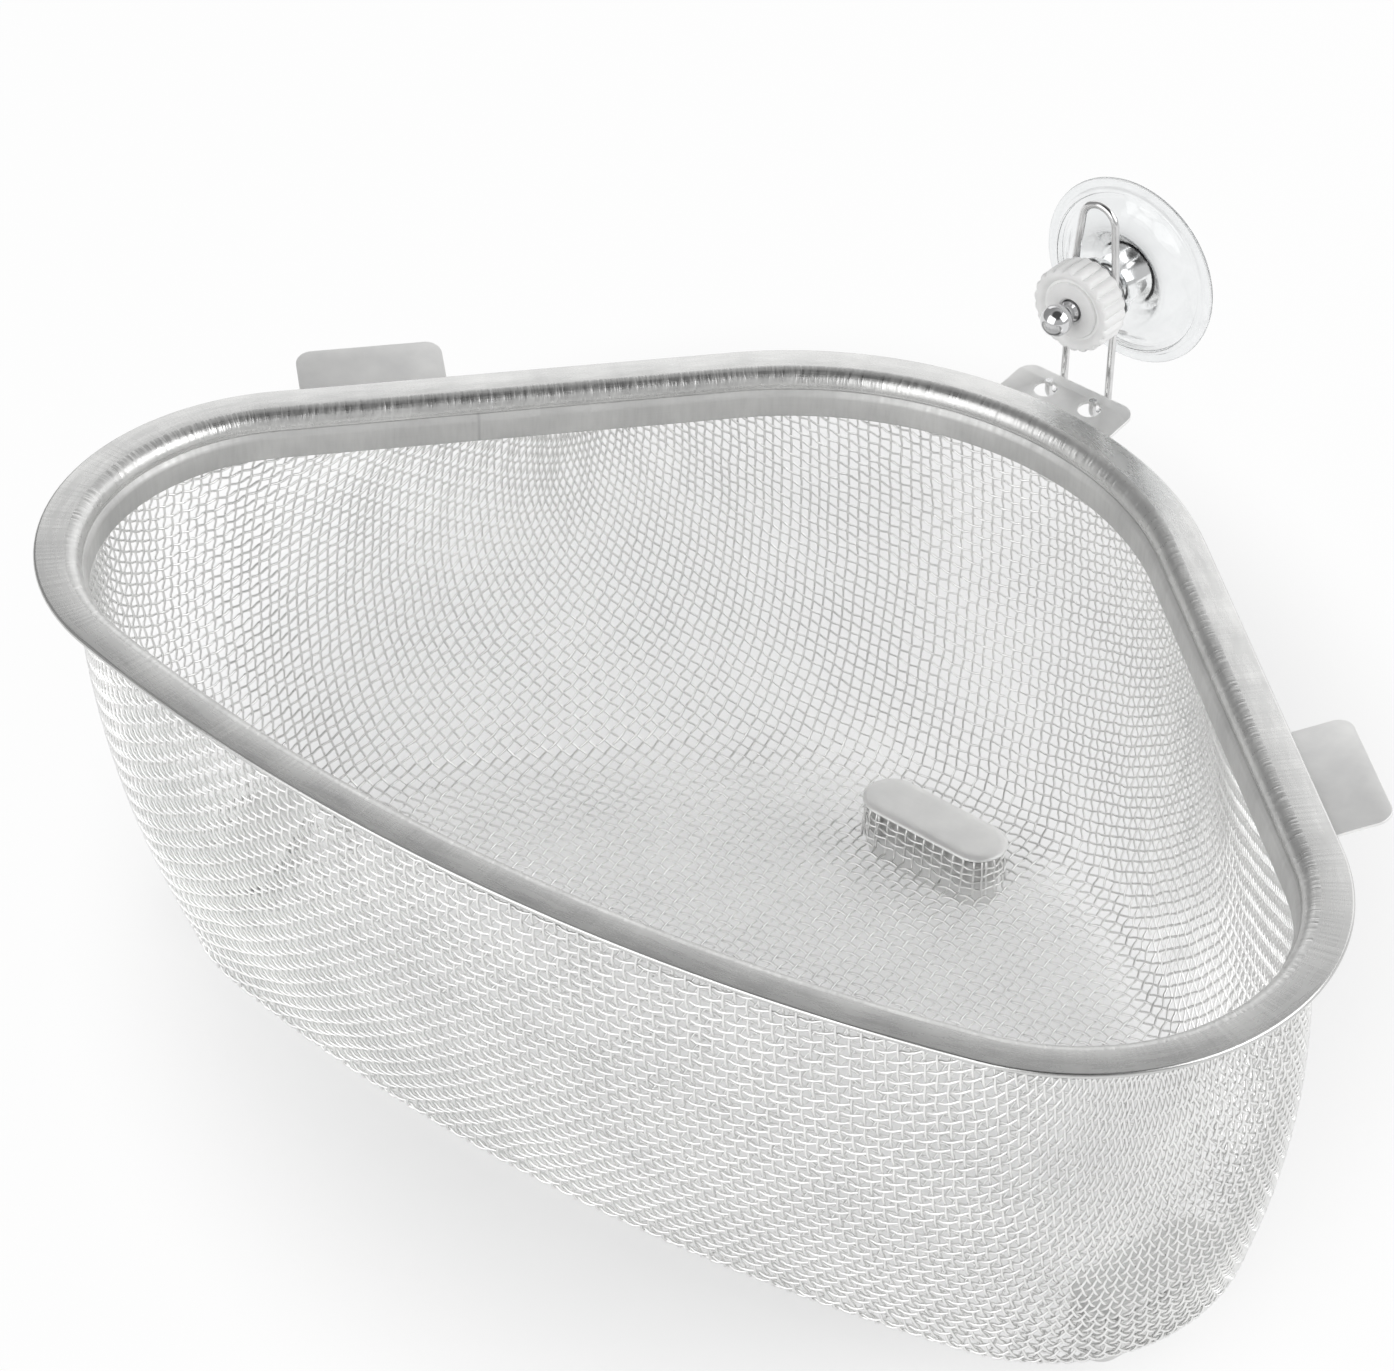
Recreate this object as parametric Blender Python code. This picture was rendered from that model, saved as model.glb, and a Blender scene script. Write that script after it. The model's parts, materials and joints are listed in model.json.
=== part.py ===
"""Hanging corner strainer basket: woven basket, steel rim, feet and a suction hook."""
import math
from collections import namedtuple

import bmesh
import bpy
from mathutils import Vector

MM = 0.001
ROOT_TWO = math.sqrt(2)

# Rim outline: a right angled corner triangle with round corners and a bowed front
RIM_WIDTH = 280 * MM
RIM_FRONT_BOW = 11.3 * MM
RIM_SIDE_RADIUS = 52.2 * MM
RIM_APEX_RADIUS = 80.9 * MM

# Rim section, measured inward from the outer edge and down from the top
RIM_SHEET = 0.5 * MM
FLANGE_WIDTH = 6.1 * MM
ROLL_RADIUS = 3.2 * MM
RIM_SKIRT_DROP = 9.0 * MM
HEM_WIDTH = 2.4 * MM
HEM_THICKNESS = 1.2 * MM
BAND_SHEET = 0.5 * MM
BAND_TOP_DROP = 3.7 * MM
BAND_BOTTOM_DROP = 10.1 * MM
STRIP_SHEET = 0.5 * MM
STRIP_TOP_DROP = 1.5 * MM
STRIP_BOTTOM_DROP = 5.2 * MM
SEAT_GAP = 0.3 * MM

# Mesh bag: its wall is set at three levels, and its bottom edge is rounded
MESH_THICKNESS = 0.8 * MM
MESH_TOP_DROP = 2.8 * MM
BASKET_DEPTH = 102 * MM
BOTTOM_ROUND = 8.0 * MM
BELLY_LEG_INSET = 2.4 * MM
BELLY_FRONT_INSET = 12.7 * MM
BELLY_SIDE_INSET = 8.4 * MM
BELLY_SIDE_LOSS = 4.5 * MM
BELLY_APEX_GAIN = 1.1 * MM
HEEL_LEG_INSET = 5.2 * MM
HEEL_FRONT_INSET = 25.6 * MM
HEEL_SIDE_INSET = 17.2 * MM
HEEL_SIDE_LOSS = 9.5 * MM
HEEL_APEX_GAIN = 1.7 * MM

# Openings of the bag: the weave's gaps drawn as a plain grid with flat bars between them
BAR_WIDTH = 6.0 * MM
FLOOR_PITCH = 22 * MM
OPENING_ROWS = 4
APEX_OPENINGS = 3
LEG_OPENINGS = 4
SHOULDER_OPENINGS = 2
SIDE_OPENINGS = 3
FRONT_OPENINGS = 5

# Feet: a pressed cup under the mesh and an oval cap above it, at each floor corner
FOOT_LENGTH = 33.2 * MM
FOOT_WIDTH = 10.4 * MM
FOOT_WALL = 0.8 * MM
FOOT_DROP = 5.0 * MM
FOOT_EDGE = 2.0 * MM
CAP_THICKNESS = 1.2 * MM
CAP_OVERHANG = 0.6 * MM
ISLAND_HEIGHT = 9.4 * MM
ISLAND_DRAFT = 0.8 * MM
APEX_FOOT_ASIDE = 3.8 * MM
APEX_FOOT_FROM_BACK = 32.0 * MM
APEX_FOOT_TURN = math.radians(-5)
SIDE_FOOT_FROM_HEEL = 12.7 * MM
SIDE_FOOT_BEARING = math.radians(-12.5)
SIDE_FOOT_TURN = math.radians(72)

# Tabs welded under the flange
TAB_SHEET = 0.7 * MM
TAB_UNDERLAP = 5.4 * MM
TAB_CORNER = 3.5 * MM
SIDE_TAB_WIDTH = 30.5 * MM
SIDE_TAB_REACH = 11.0 * MM
SIDE_TAB_FROM_CORNER = 20.5 * MM
HANGER_TAB_WIDTH = 28.5 * MM
HANGER_TAB_REACH = 9.5 * MM
HANGER_TURN = math.radians(5.5)
HOLE_DIAMETER = 4.9 * MM
HOLE_SPACING = 11.3 * MM
HOLE_EDGE_DISTANCE = 4.9 * MM

# Wire hook: a hairpin with a J at each end
WIRE_DIAMETER = 1.6 * MM
J_RADIUS = 2.7 * MM
J_TIP = 1.8 * MM
LOOP_RADIUS = 4.1 * MM
STUD_HEIGHT = 22.5 * MM
LOOP_ABOVE_STUD = 22.2 * MM

# Suction cup, its stud and the knurled nut, measured from the plane of the wires
CUP_RADIUS = 20.8 * MM
CUP_DEPTH = 12.0 * MM
CUP_LIP = 1.2 * MM
CUP_LIP_THICKNESS = 1.0 * MM
CUP_NECK_RADIUS = 7.0 * MM
CUP_NECK_LENGTH = 2.2 * MM
CUP_WALL = 2.4 * MM
CUP_HOLLOW_DEPTH = 4.2 * MM
STUD_RADIUS = 2.2 * MM
STUD_NECK = 2.0 * MM
STUD_HEAD_RADIUS = 5.0 * MM
STUD_HEAD_THICKNESS = 1.4 * MM
STUD_SEAT_THICKNESS = 3.2 * MM
BALL_RADIUS = 3.3 * MM
NUT_RADIUS = 9.4 * MM
NUT_THICKNESS = 7.0 * MM
NUT_LOBE_DEPTH = 0.7 * MM
NUT_COLLAR_RADIUS = 6.2 * MM
NUT_RECESS = 0.8 * MM
NUT_LOBES = 22

# How finely the round shapes are cut
APEX_STEPS = 8
SIDE_STEPS = 6
FRONT_STEPS = 6
ROUND_STEPS = 4
TURN_STEPS = 32
WIRE_SIDES = 10

Section = namedtuple("Section", "leg_inset front_inset side_inset side_radius apex_radius")
Stretch = namedtuple("Stretch", "length point steps openings facets")

RIM = Section(0, 0, 0, RIM_SIDE_RADIUS, RIM_APEX_RADIUS)
RIM_CORNER_OUT = RIM_WIDTH / 2 - RIM_SIDE_RADIUS
RIM_CORNER_BACK = RIM_SIDE_RADIUS + RIM_FRONT_BOW
RIM_APEX_CENTRE = RIM_CORNER_BACK + RIM_CORNER_OUT - ROOT_TWO * (RIM_APEX_RADIUS - RIM_SIDE_RADIUS)
RIM_DEPTH = RIM_APEX_CENTRE + RIM_APEX_RADIUS
SKIRT_INSET = FLANGE_WIDTH + ROLL_RADIUS
MESH_INSET = SKIRT_INSET - RIM_SHEET - SEAT_GAP - MESH_THICKNESS
FLOOR_HEIGHT = FOOT_DROP
RIM_HEIGHT = BASKET_DEPTH + FOOT_DROP


def drawn_in(section, amount):
    """The same outline with every edge moved inward by one amount."""
    return Section(
        section.leg_inset + amount,
        section.front_inset + amount,
        section.side_inset + amount,
        section.side_radius - amount,
        section.apex_radius - amount,
    )


def side_arc_centre(section):
    apex_y = RIM_APEX_CENTRE + ROOT_TWO * (RIM_APEX_RADIUS - section.leg_inset - section.apex_radius)
    x = RIM_WIDTH / 2 - section.side_inset - section.side_radius
    y = apex_y + ROOT_TWO * (section.apex_radius - section.side_radius) - x
    return apex_y, x, y


def arc(cx, cy, radius, start, end, steps):
    return [
        (cx + radius * math.cos(start + (end - start) * i / steps),
         cy + radius * math.sin(start + (end - start) * i / steps))
        for i in range(steps + 1)
    ]


def arc_stretch(cx, cy, radius, start, end, steps, openings, facets=2):
    def point(share):
        angle = start + (end - start) * share
        return cx + radius * math.cos(angle), cy + radius * math.sin(angle)
    return Stretch(radius * abs(end - start), point, steps, openings, facets)


def line_stretch(start, end, openings):
    def point(share):
        return tuple(a + (b - a) * share for a, b in zip(start, end))
    return Stretch(math.dist(start, end), point, 1, openings, 1)


def half_outline(section):
    """The right half of the round cornered triangle, stretch by stretch, from the apex to the front."""
    apex_y, x, y = side_arc_centre(section)
    rise = y - section.front_inset
    front_radius = (x * x + rise * rise - section.side_radius ** 2) / (2 * (rise - section.side_radius))
    front_y = section.front_inset + front_radius
    turn = math.atan2(y - front_y, x)
    apex = arc_stretch(0, apex_y, section.apex_radius, math.pi / 2, math.pi / 4, APEX_STEPS, APEX_OPENINGS)
    shoulder = arc_stretch(x, y, section.side_radius, math.pi / 4, 0, SIDE_STEPS, SHOULDER_OPENINGS)
    side = arc_stretch(x, y, section.side_radius, 0, turn, SIDE_STEPS, SIDE_OPENINGS)
    front = arc_stretch(0, front_y, front_radius, turn, -math.pi / 2, FRONT_STEPS, FRONT_OPENINGS, 1)
    leg = line_stretch(apex.point(1), shoulder.point(0), LEG_OPENINGS)
    return apex, leg, shoulder, side, front


def outline(section):
    """Counterclockwise points of the round cornered triangle, from the apex."""
    half = half_outline(section)
    right = [stretch.point(i / stretch.steps) for stretch in half for i in range(stretch.steps)]
    left = [(-px, py) for px, py in right[1:]]
    return left + [half[-1].point(1)] + right[::-1]


def barred_outline(section):
    """The same outline, with points where each opening of the bag starts and ends."""
    right = []
    for stretch in half_outline(section):
        bar = BAR_WIDTH / stretch.length
        for k in range(stretch.openings):
            start = k / stretch.openings + bar / 2
            span = 1 / stretch.openings - bar
            right += [stretch.point(start + span * i / stretch.facets) for i in range(stretch.facets + 1)]
    left = [(-px, py) for px, py in right]
    return left + right[::-1]


def open_columns():
    """For each side of the barred outline, whether it crosses an opening."""
    right = []
    for stretch in half_outline(RIM):
        right += ([True] * stretch.facets + [False]) * stretch.openings
    return right + right[-2::-1] + [False]


def ring(section, z):
    return [Vector((x, y, z)) for x, y in outline(section)]


def barred_ring(section, z):
    return [Vector((x, y, z)) for x, y in barred_outline(section)]


def stitch(bm, rings, closed_profile):
    """Faces between neighbouring rings of equal count."""
    rows = [[bm.verts.new(p) for p in points] for points in rings]
    pairs = list(zip(rows, rows[1:]))
    if closed_profile:
        pairs.append((rows[-1], rows[0]))
    for lower, upper in pairs:
        for i in range(len(lower)):
            j = (i + 1) % len(lower)
            bm.faces.new((lower[i], lower[j], upper[j], upper[i]))
    if not closed_profile:
        bm.faces.new(rows[0][::-1])
        bm.faces.new(rows[-1])


def material(name, colour, roughness, metallic, alpha=1.0):
    mat = bpy.data.materials.new(name)
    mat.use_nodes = True
    shader = mat.node_tree.nodes["Principled BSDF"]
    shader.inputs["Base Color"].default_value = (*colour, 1.0)
    shader.inputs["Roughness"].default_value = roughness
    shader.inputs["Metallic"].default_value = metallic
    shader.inputs["Alpha"].default_value = alpha
    return mat


def add_object(name, bm, mat, parent, location=(0, 0, 0), rotation=(0, 0, 0)):
    """A new object from a bmesh, faces outward and round parts smooth."""
    if bm.calc_volume(signed=True) < 0:
        bmesh.ops.reverse_faces(bm, faces=bm.faces)
    mesh = bpy.data.meshes.new(name)
    bm.to_mesh(mesh)
    bm.free()
    mesh.shade_smooth()
    mesh.set_sharp_from_angle(angle=math.radians(35))
    if mat:
        mesh.materials.append(mat)
    obj = bpy.data.objects.new(name, mesh)
    bpy.context.collection.objects.link(obj)
    obj.parent = parent
    obj.location = location
    obj.rotation_euler = rotation
    return obj


def add_empty(name, parent, location, turn=0.0):
    obj = bpy.data.objects.new(name, None)
    bpy.context.collection.objects.link(obj)
    obj.parent = parent
    obj.location = location
    obj.rotation_euler = (0, 0, turn)
    return obj


def boolean(target, tool, operation):
    tool.hide_render = True
    tool.display_type = "WIRE"
    cut = target.modifiers.new(tool.name, "BOOLEAN")
    cut.operation = operation
    cut.solver = "EXACT"
    cut.object = tool


def profile_ring(name, profile, mat, parent):
    """A closed section carried round the rim outline."""
    bm = bmesh.new()
    stitch(bm, [ring(drawn_in(RIM, inset), -drop) for inset, drop in profile], True)
    return add_object(name, bm, mat, parent)


def quarter(cx, cy, radius, steps, start, end):
    return arc(cx, cy, radius, math.radians(start), math.radians(end), steps)


def rim_frame(mat, parent):
    """Hemmed flange, rolled shoulder and the skirt behind the band."""
    hem = HEM_THICKNESS / 2
    shoulder = [(x, -y) for x, y in quarter(FLANGE_WIDTH, -ROLL_RADIUS, ROLL_RADIUS, ROUND_STEPS, 90, 0)]
    back = ROLL_RADIUS - RIM_SHEET
    under = [(x, -y) for x, y in quarter(FLANGE_WIDTH, -ROLL_RADIUS, back, ROUND_STEPS, 0, 90)]
    edge = [(x, -y) for x, y in quarter(hem, -hem, hem, ROUND_STEPS, 270, 90)]
    profile = shoulder
    profile += [(SKIRT_INSET, RIM_SKIRT_DROP), (SKIRT_INSET - RIM_SHEET, RIM_SKIRT_DROP)]
    profile += under
    profile += [(HEM_WIDTH, RIM_SHEET), (HEM_WIDTH, HEM_THICKNESS)]
    profile += edge
    return profile_ring("rim_frame", profile, mat, parent)


def flat_ring(name, inset, sheet, top, bottom, mat, parent):
    profile = [(inset, top), (inset + sheet, top), (inset + sheet, bottom), (inset, bottom)]
    return profile_ring(name, profile, mat, parent)


def blend(hang, belly, heel, t):
    """The curve through three levels: hang at 0, belly at one half, heel at 1."""
    return hang * (1 - t) * (1 - 2 * t) + belly * 4 * t * (1 - t) + heel * t * (2 * t - 1)


def wall_section(t):
    hang = drawn_in(RIM, MESH_INSET)
    belly = Section(
        BELLY_LEG_INSET, BELLY_FRONT_INSET, BELLY_SIDE_INSET,
        RIM_SIDE_RADIUS - BELLY_SIDE_LOSS, RIM_APEX_RADIUS + BELLY_APEX_GAIN)
    heel = Section(
        HEEL_LEG_INSET, HEEL_FRONT_INSET, HEEL_SIDE_INSET,
        RIM_SIDE_RADIUS - HEEL_SIDE_LOSS, RIM_APEX_RADIUS + HEEL_APEX_GAIN)
    return Section(*[blend(a, b, c, t) for a, b, c in zip(hang, belly, heel)])


def wall_drops():
    """Drops at which the wall changes: its hang line, both edges of each row of openings, its heel."""
    heel_drop = BASKET_DEPTH - BOTTOM_ROUND
    pitch = (heel_drop - BAND_BOTTOM_DROP) / OPENING_ROWS
    drops = [STRIP_BOTTOM_DROP + SEAT_GAP]
    for k in range(OPENING_ROWS):
        top = BAND_BOTTOM_DROP + pitch * k
        drops += [top + BAR_WIDTH / 2, top + pitch - BAR_WIDTH / 2]
    return drops + [heel_drop]


def mesh_rings(inward):
    """Rings of one face of the mesh bag, from its top edge to its floor."""
    drops = wall_drops()
    hang_drop, heel_drop = drops[0], drops[-1]
    rings = [barred_ring(drawn_in(wall_section(0), inward), -MESH_TOP_DROP)]
    for drop in drops:
        section = wall_section((drop - hang_drop) / (heel_drop - hang_drop))
        rings.append(barred_ring(drawn_in(section, inward), -drop))
    radius = BOTTOM_ROUND - inward
    for i in range(1, ROUND_STEPS + 1):
        angle = math.pi / 2 * i / ROUND_STEPS
        section = drawn_in(wall_section(1), inward + radius * (1 - math.cos(angle)))
        rings.append(barred_ring(section, -heel_drop - radius * math.sin(angle)))
    return rings


def open_levels():
    """For each step between the bag's rings, whether it crosses a row of openings."""
    return [False, False] + [True, False] * OPENING_ROWS + [False] * ROUND_STEPS


def stitch_barred(bm, outer, inner):
    """Two skins with a grid of openings, joined at the top edge and round each opening."""
    skins = [[[bm.verts.new(p) for p in points] for points in rings] for rings in (outer, inner)]
    columns, levels = open_columns(), open_levels()
    count = len(columns)

    def is_open(level, i):
        return levels[level] and columns[i % count]

    def edge(start, end):
        corners = [(0, start), (0, end), (1, end), (1, start)]
        bm.faces.new([skins[skin][level][i % count] for skin, (level, i) in corners])

    for i in range(count):
        edge((0, i + 1), (0, i))
    for level in range(len(levels)):
        for i in range(count):
            around = ((level, i), (level, i + 1), (level + 1, i + 1), (level + 1, i))
            if not is_open(level, i):
                for skin, corners in ((0, around), (1, around[::-1])):
                    bm.faces.new([skins[skin][row][k % count] for row, k in corners])
                continue
            edge(around[0], around[1])
            edge(around[2], around[3])
            if not is_open(level, i - 1):
                edge(around[3], around[0])
            if not is_open(level, i + 1):
                edge(around[1], around[2])
    bm.faces.new(skins[0][-1])
    bm.faces.new(skins[1][-1][::-1])


def racetrack(length, width, z):
    radius = width / 2
    half = length / 2 - radius
    points = arc(half, 0, radius, -math.pi / 2, math.pi / 2, TURN_STEPS // 4)
    points += arc(-half, 0, radius, math.pi / 2, 3 * math.pi / 2, TURN_STEPS // 4)
    return [Vector((x, y, z)) for x, y in points]


def foot_places():
    """Name, centre and turn of each foot; the side feet keep their distance from the wall's heel."""
    heel = wall_section(1)
    _, corner_x, corner_y = side_arc_centre(heel)
    reach = heel.side_radius - SIDE_FOOT_FROM_HEEL
    x = corner_x + reach * math.cos(SIDE_FOOT_BEARING)
    y = corner_y + reach * math.sin(SIDE_FOOT_BEARING)
    return (
        ("apex", APEX_FOOT_ASIDE, RIM_DEPTH - APEX_FOOT_FROM_BACK, APEX_FOOT_TURN),
        ("right", x, y, SIDE_FOOT_TURN),
        ("left", -x, y, math.pi - SIDE_FOOT_TURN),
    )


def placed(points, x, y, turn):
    """The points turned about Z and then moved."""
    cos, sin = math.cos(turn), math.sin(turn)
    return [Vector((x + p.x * cos - p.y * sin, y + p.x * sin + p.y * cos, p.z)) for p in points]


def island_tool(name, grow, low, high, parent):
    """Three tapered racetrack blocks, one over each foot."""
    bm = bmesh.new()
    length = FOOT_LENGTH + 2 * grow
    width = FOOT_WIDTH + 2 * grow
    flare = 2 * ISLAND_DRAFT
    for _, x, y, turn in foot_places():
        rings = [racetrack(length + flare, width + flare, low), racetrack(length, width, high)]
        stitch(bm, [placed(points, x, y, turn) for points in rings], False)
    return add_object(name, bm, None, parent)


def within(points, x, y):
    """Whether a place lies inside a closed outline."""
    inside = False
    for (ax, ay), (bx, by) in zip(points, points[1:] + points[:1]):
        if (ay > y) != (by > y) and x < ax + (bx - ax) * (y - ay) / (by - ay):
            inside = not inside
    return inside


def near_foot(x, y):
    """Whether a place lies on an island or within half a bar of one."""
    half = (FOOT_LENGTH - FOOT_WIDTH) / 2
    reach = FOOT_WIDTH / 2 + MESH_THICKNESS + ISLAND_DRAFT + BAR_WIDTH / 2
    for _, foot_x, foot_y, turn in foot_places():
        cos, sin = math.cos(turn), math.sin(turn)
        along = (x - foot_x) * cos + (y - foot_y) * sin
        nearest = max(-half, min(half, along))
        if math.hypot(x - foot_x - nearest * cos, y - foot_y - nearest * sin) < reach:
            return True
    return False


def floor_tool(parent):
    """Square blocks over the floor, on a grid, where a whole opening fits."""
    bm = bmesh.new()
    edge = outline(drawn_in(wall_section(1), BOTTOM_ROUND + BAR_WIDTH / 2))
    first = HEEL_FRONT_INSET + BOTTOM_ROUND + FLOOR_PITCH / 2
    half = (FLOOR_PITCH - BAR_WIDTH) / 2
    low = -BASKET_DEPTH - MESH_THICKNESS
    across = math.ceil(RIM_WIDTH / FLOOR_PITCH / 2)
    for row in range(math.ceil(RIM_DEPTH / FLOOR_PITCH)):
        for column in range(-across, across + 1):
            x, y = column * FLOOR_PITCH, first + row * FLOOR_PITCH
            places = [(x + i * half, y + j * half) for i in (-1, 0, 1) for j in (-1, 0, 1)]
            if all(within(edge, *place) and not near_foot(*place) for place in places):
                square = ((x - half, y - half), (x + half, y - half), (x + half, y + half), (x - half, y + half))
                heights = (low, low + 3 * MESH_THICKNESS)
                stitch(bm, [[Vector((px, py, z)) for px, py in square] for z in heights], False)
    return add_object("floor_blocks", bm, None, parent)


def mesh_basket(mat, parent):
    """The woven bag as a shell with a grid of openings, and an island raised over each foot."""
    bm = bmesh.new()
    stitch_barred(bm, mesh_rings(0), mesh_rings(MESH_THICKNESS))
    bag = add_object("mesh_basket", bm, mat, parent)
    boolean(bag, floor_tool(parent), "DIFFERENCE")
    floor = -BASKET_DEPTH
    top = floor + ISLAND_HEIGHT
    raised = island_tool("island_blocks", MESH_THICKNESS, floor + MESH_THICKNESS / 2, top, parent)
    boolean(bag, raised, "UNION")
    hollow = island_tool("island_hollows", 0, floor - MESH_THICKNESS, top - MESH_THICKNESS, parent)
    boolean(bag, hollow, "DIFFERENCE")
    return bag


def foot_cup(name, x, y, turn, mat, parent):
    """Pressed cup that fills an island from below and stands under the floor."""
    bm = bmesh.new()
    bottom = -BASKET_DEPTH - FOOT_DROP
    top = -BASKET_DEPTH + ISLAND_HEIGHT - MESH_THICKNESS - SEAT_GAP
    length = FOOT_LENGTH - 2 * SEAT_GAP
    width = FOOT_WIDTH - 2 * SEAT_GAP
    rings = []
    for i in range(ROUND_STEPS + 1):
        angle = math.pi / 2 * i / ROUND_STEPS
        inset = 2 * FOOT_EDGE * (1 - math.sin(angle))
        z = bottom + FOOT_EDGE * (1 - math.cos(angle))
        rings.append(racetrack(length - inset, width - inset, z))
    rings.append(racetrack(length, width, top))
    rings.append(racetrack(length - 2 * FOOT_WALL, width - 2 * FOOT_WALL, top))
    rings.append(racetrack(length - 2 * FOOT_WALL, width - 2 * FOOT_WALL, bottom + FOOT_EDGE))
    inner = 2 * (FOOT_WALL + FOOT_EDGE)
    rings.append(racetrack(length - inner, width - inner, bottom + FOOT_WALL))
    stitch(bm, rings, False)
    return add_object(name, bm, mat, parent, (x, y, 0), (0, 0, turn))


def foot_cap(name, x, y, turn, mat, parent):
    """Oval plate over an island, with a rounded upper edge."""
    bm = bmesh.new()
    bottom = -BASKET_DEPTH + ISLAND_HEIGHT + SEAT_GAP
    grow = 2 * (MESH_THICKNESS + CAP_OVERHANG)
    length = FOOT_LENGTH + grow
    width = FOOT_WIDTH + grow
    edge = CAP_THICKNESS / 2
    rings = [racetrack(length - edge, width - edge, bottom), racetrack(length, width, bottom + edge / 2)]
    for i in range(ROUND_STEPS + 1):
        angle = math.pi / 2 * i / ROUND_STEPS
        inset = 2 * edge * (1 - math.cos(angle))
        z = bottom + CAP_THICKNESS - edge * (1 - math.sin(angle))
        rings.append(racetrack(length - inset, width - inset, z))
    stitch(bm, rings, False)
    return add_object(name, bm, mat, parent, (x, y, 0), (0, 0, turn))


def tab(name, width, reach, mat, parent):
    """Plate in the parent's frame: x along the rim, y outward from its edge."""
    bm = bmesh.new()
    half = width / 2
    points = [(-half, -TAB_UNDERLAP), (half, -TAB_UNDERLAP)]
    points += quarter(half - TAB_CORNER, reach - TAB_CORNER, TAB_CORNER, ROUND_STEPS, 0, 90)
    points += quarter(TAB_CORNER - half, reach - TAB_CORNER, TAB_CORNER, ROUND_STEPS, 90, 180)
    top = -HEM_THICKNESS - SEAT_GAP
    rings = [[Vector((x, y, z)) for x, y in points] for z in (top - TAB_SHEET, top)]
    stitch(bm, rings, False)
    return add_object(name, bm, mat, parent)


def hanger_tab(mat, parent):
    plate = tab("hanger_tab", HANGER_TAB_WIDTH, HANGER_TAB_REACH, mat, parent)
    drill = bmesh.new()
    top = -HEM_THICKNESS
    radius = HOLE_DIAMETER / 2
    for side in (-1, 1):
        part = [
            [Vector((x, y, z)) for x, y in arc(
                side * HOLE_SPACING / 2, HANGER_TAB_REACH - HOLE_EDGE_DISTANCE, radius,
                0, 2 * math.pi, TURN_STEPS)[:-1]]
            for z in (top - TAB_SHEET - 2 * SEAT_GAP, top)
        ]
        stitch(drill, part, False)
    boolean(plate, add_object("hanger_drills", drill, None, parent), "DIFFERENCE")
    return plate


def turned(profile, steps=TURN_STEPS):
    """A solid turned about local Z from (radius, height) points, first and last on the axis or not."""
    bm = bmesh.new()
    rings = [
        [Vector((r * math.cos(2 * math.pi * i / steps), r * math.sin(2 * math.pi * i / steps), h))
         for i in range(steps)]
        for r, h in profile
    ]
    return bm, rings


def tube(points, radius, sides):
    """Round wire along a path, its rings carried from bend to bend."""
    rings = []
    across = Vector((1, 0, 0))
    for i, point in enumerate(points):
        before = points[max(i - 1, 0)]
        after = points[min(i + 1, len(points) - 1)]
        ahead = (after - before).normalized()
        across = (across - ahead * across.dot(ahead)).normalized()
        up = ahead.cross(across)
        rings.append([
            point + radius * (across * math.cos(2 * math.pi * k / sides) + up * math.sin(2 * math.pi * k / sides))
            for k in range(sides)
        ])
    return rings


def wire_hook(mat, parent):
    """Hairpin in the pivot's frame: x across, y away from the basket, z up."""
    spread = HOLE_SPACING / 2
    loop_z = STUD_HEIGHT + LOOP_ABOVE_STUD - WIRE_DIAMETER / 2 - LOOP_RADIUS
    right = [(spread, -J_RADIUS, J_TIP)]
    right += [(spread, y, z) for y, z in arc(0, 0, J_RADIUS, math.pi, 2 * math.pi, TURN_STEPS // 3)]
    loop = [(x, J_RADIUS, z) for x, z in arc(0, loop_z, LOOP_RADIUS, 0, math.pi, TURN_STEPS // 2)]
    left = [(-x, y, z) for x, y, z in right[::-1]]
    points = [Vector(point) for point in right + loop + left]
    bm = bmesh.new()
    stitch(bm, tube(points, WIRE_DIAMETER / 2, WIRE_SIDES), False)
    return add_object("wire_hook", bm, mat, parent)


def suction_cup(mat, parent):
    """Clear cup turned about the stud, its hollow side away from the wires."""
    face = WIRE_DIAMETER / 2 + SEAT_GAP
    lip = face + CUP_DEPTH
    pocket = STUD_HEAD_RADIUS + SEAT_GAP
    seat = face + STUD_SEAT_THICKNESS
    bore = STUD_RADIUS + SEAT_GAP
    hollow = lip - CUP_HOLLOW_DEPTH
    profile = [
        (bore, face), (CUP_NECK_RADIUS, face), (CUP_NECK_RADIUS, face + CUP_NECK_LENGTH),
        (CUP_RADIUS - CUP_WALL, lip - CUP_HOLLOW_DEPTH / 2), (CUP_RADIUS, lip - CUP_LIP_THICKNESS),
        (CUP_RADIUS, lip), (CUP_RADIUS - CUP_LIP, lip),
        (CUP_NECK_RADIUS + CUP_WALL, hollow), (pocket, hollow), (pocket, seat), (bore, seat),
    ]
    bm, rings = turned(profile)
    stitch(bm, rings, True)
    return add_object("suction_cup", bm, mat, parent)


def stud(mat, parent):
    """Headed pin through cup and nut, ending in a ball."""
    seat = WIRE_DIAMETER / 2 + SEAT_GAP + STUD_SEAT_THICKNESS + SEAT_GAP
    nut_face = -WIRE_DIAMETER / 2 - SEAT_GAP - NUT_THICKNESS
    start = math.asin(STUD_RADIUS / BALL_RADIUS)
    ball = nut_face - STUD_NECK - BALL_RADIUS * math.cos(start)
    profile = [(STUD_HEAD_RADIUS, seat + STUD_HEAD_THICKNESS), (STUD_HEAD_RADIUS, seat), (STUD_RADIUS, seat)]
    steps = TURN_STEPS // 4
    for i in range(steps):
        angle = start + (math.pi - start) * i / steps
        profile.append((BALL_RADIUS * math.sin(angle), ball + BALL_RADIUS * math.cos(angle)))
    bm, rings = turned(profile)
    stitch(bm, rings, False)
    return add_object("stud", bm, mat, parent)


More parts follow.
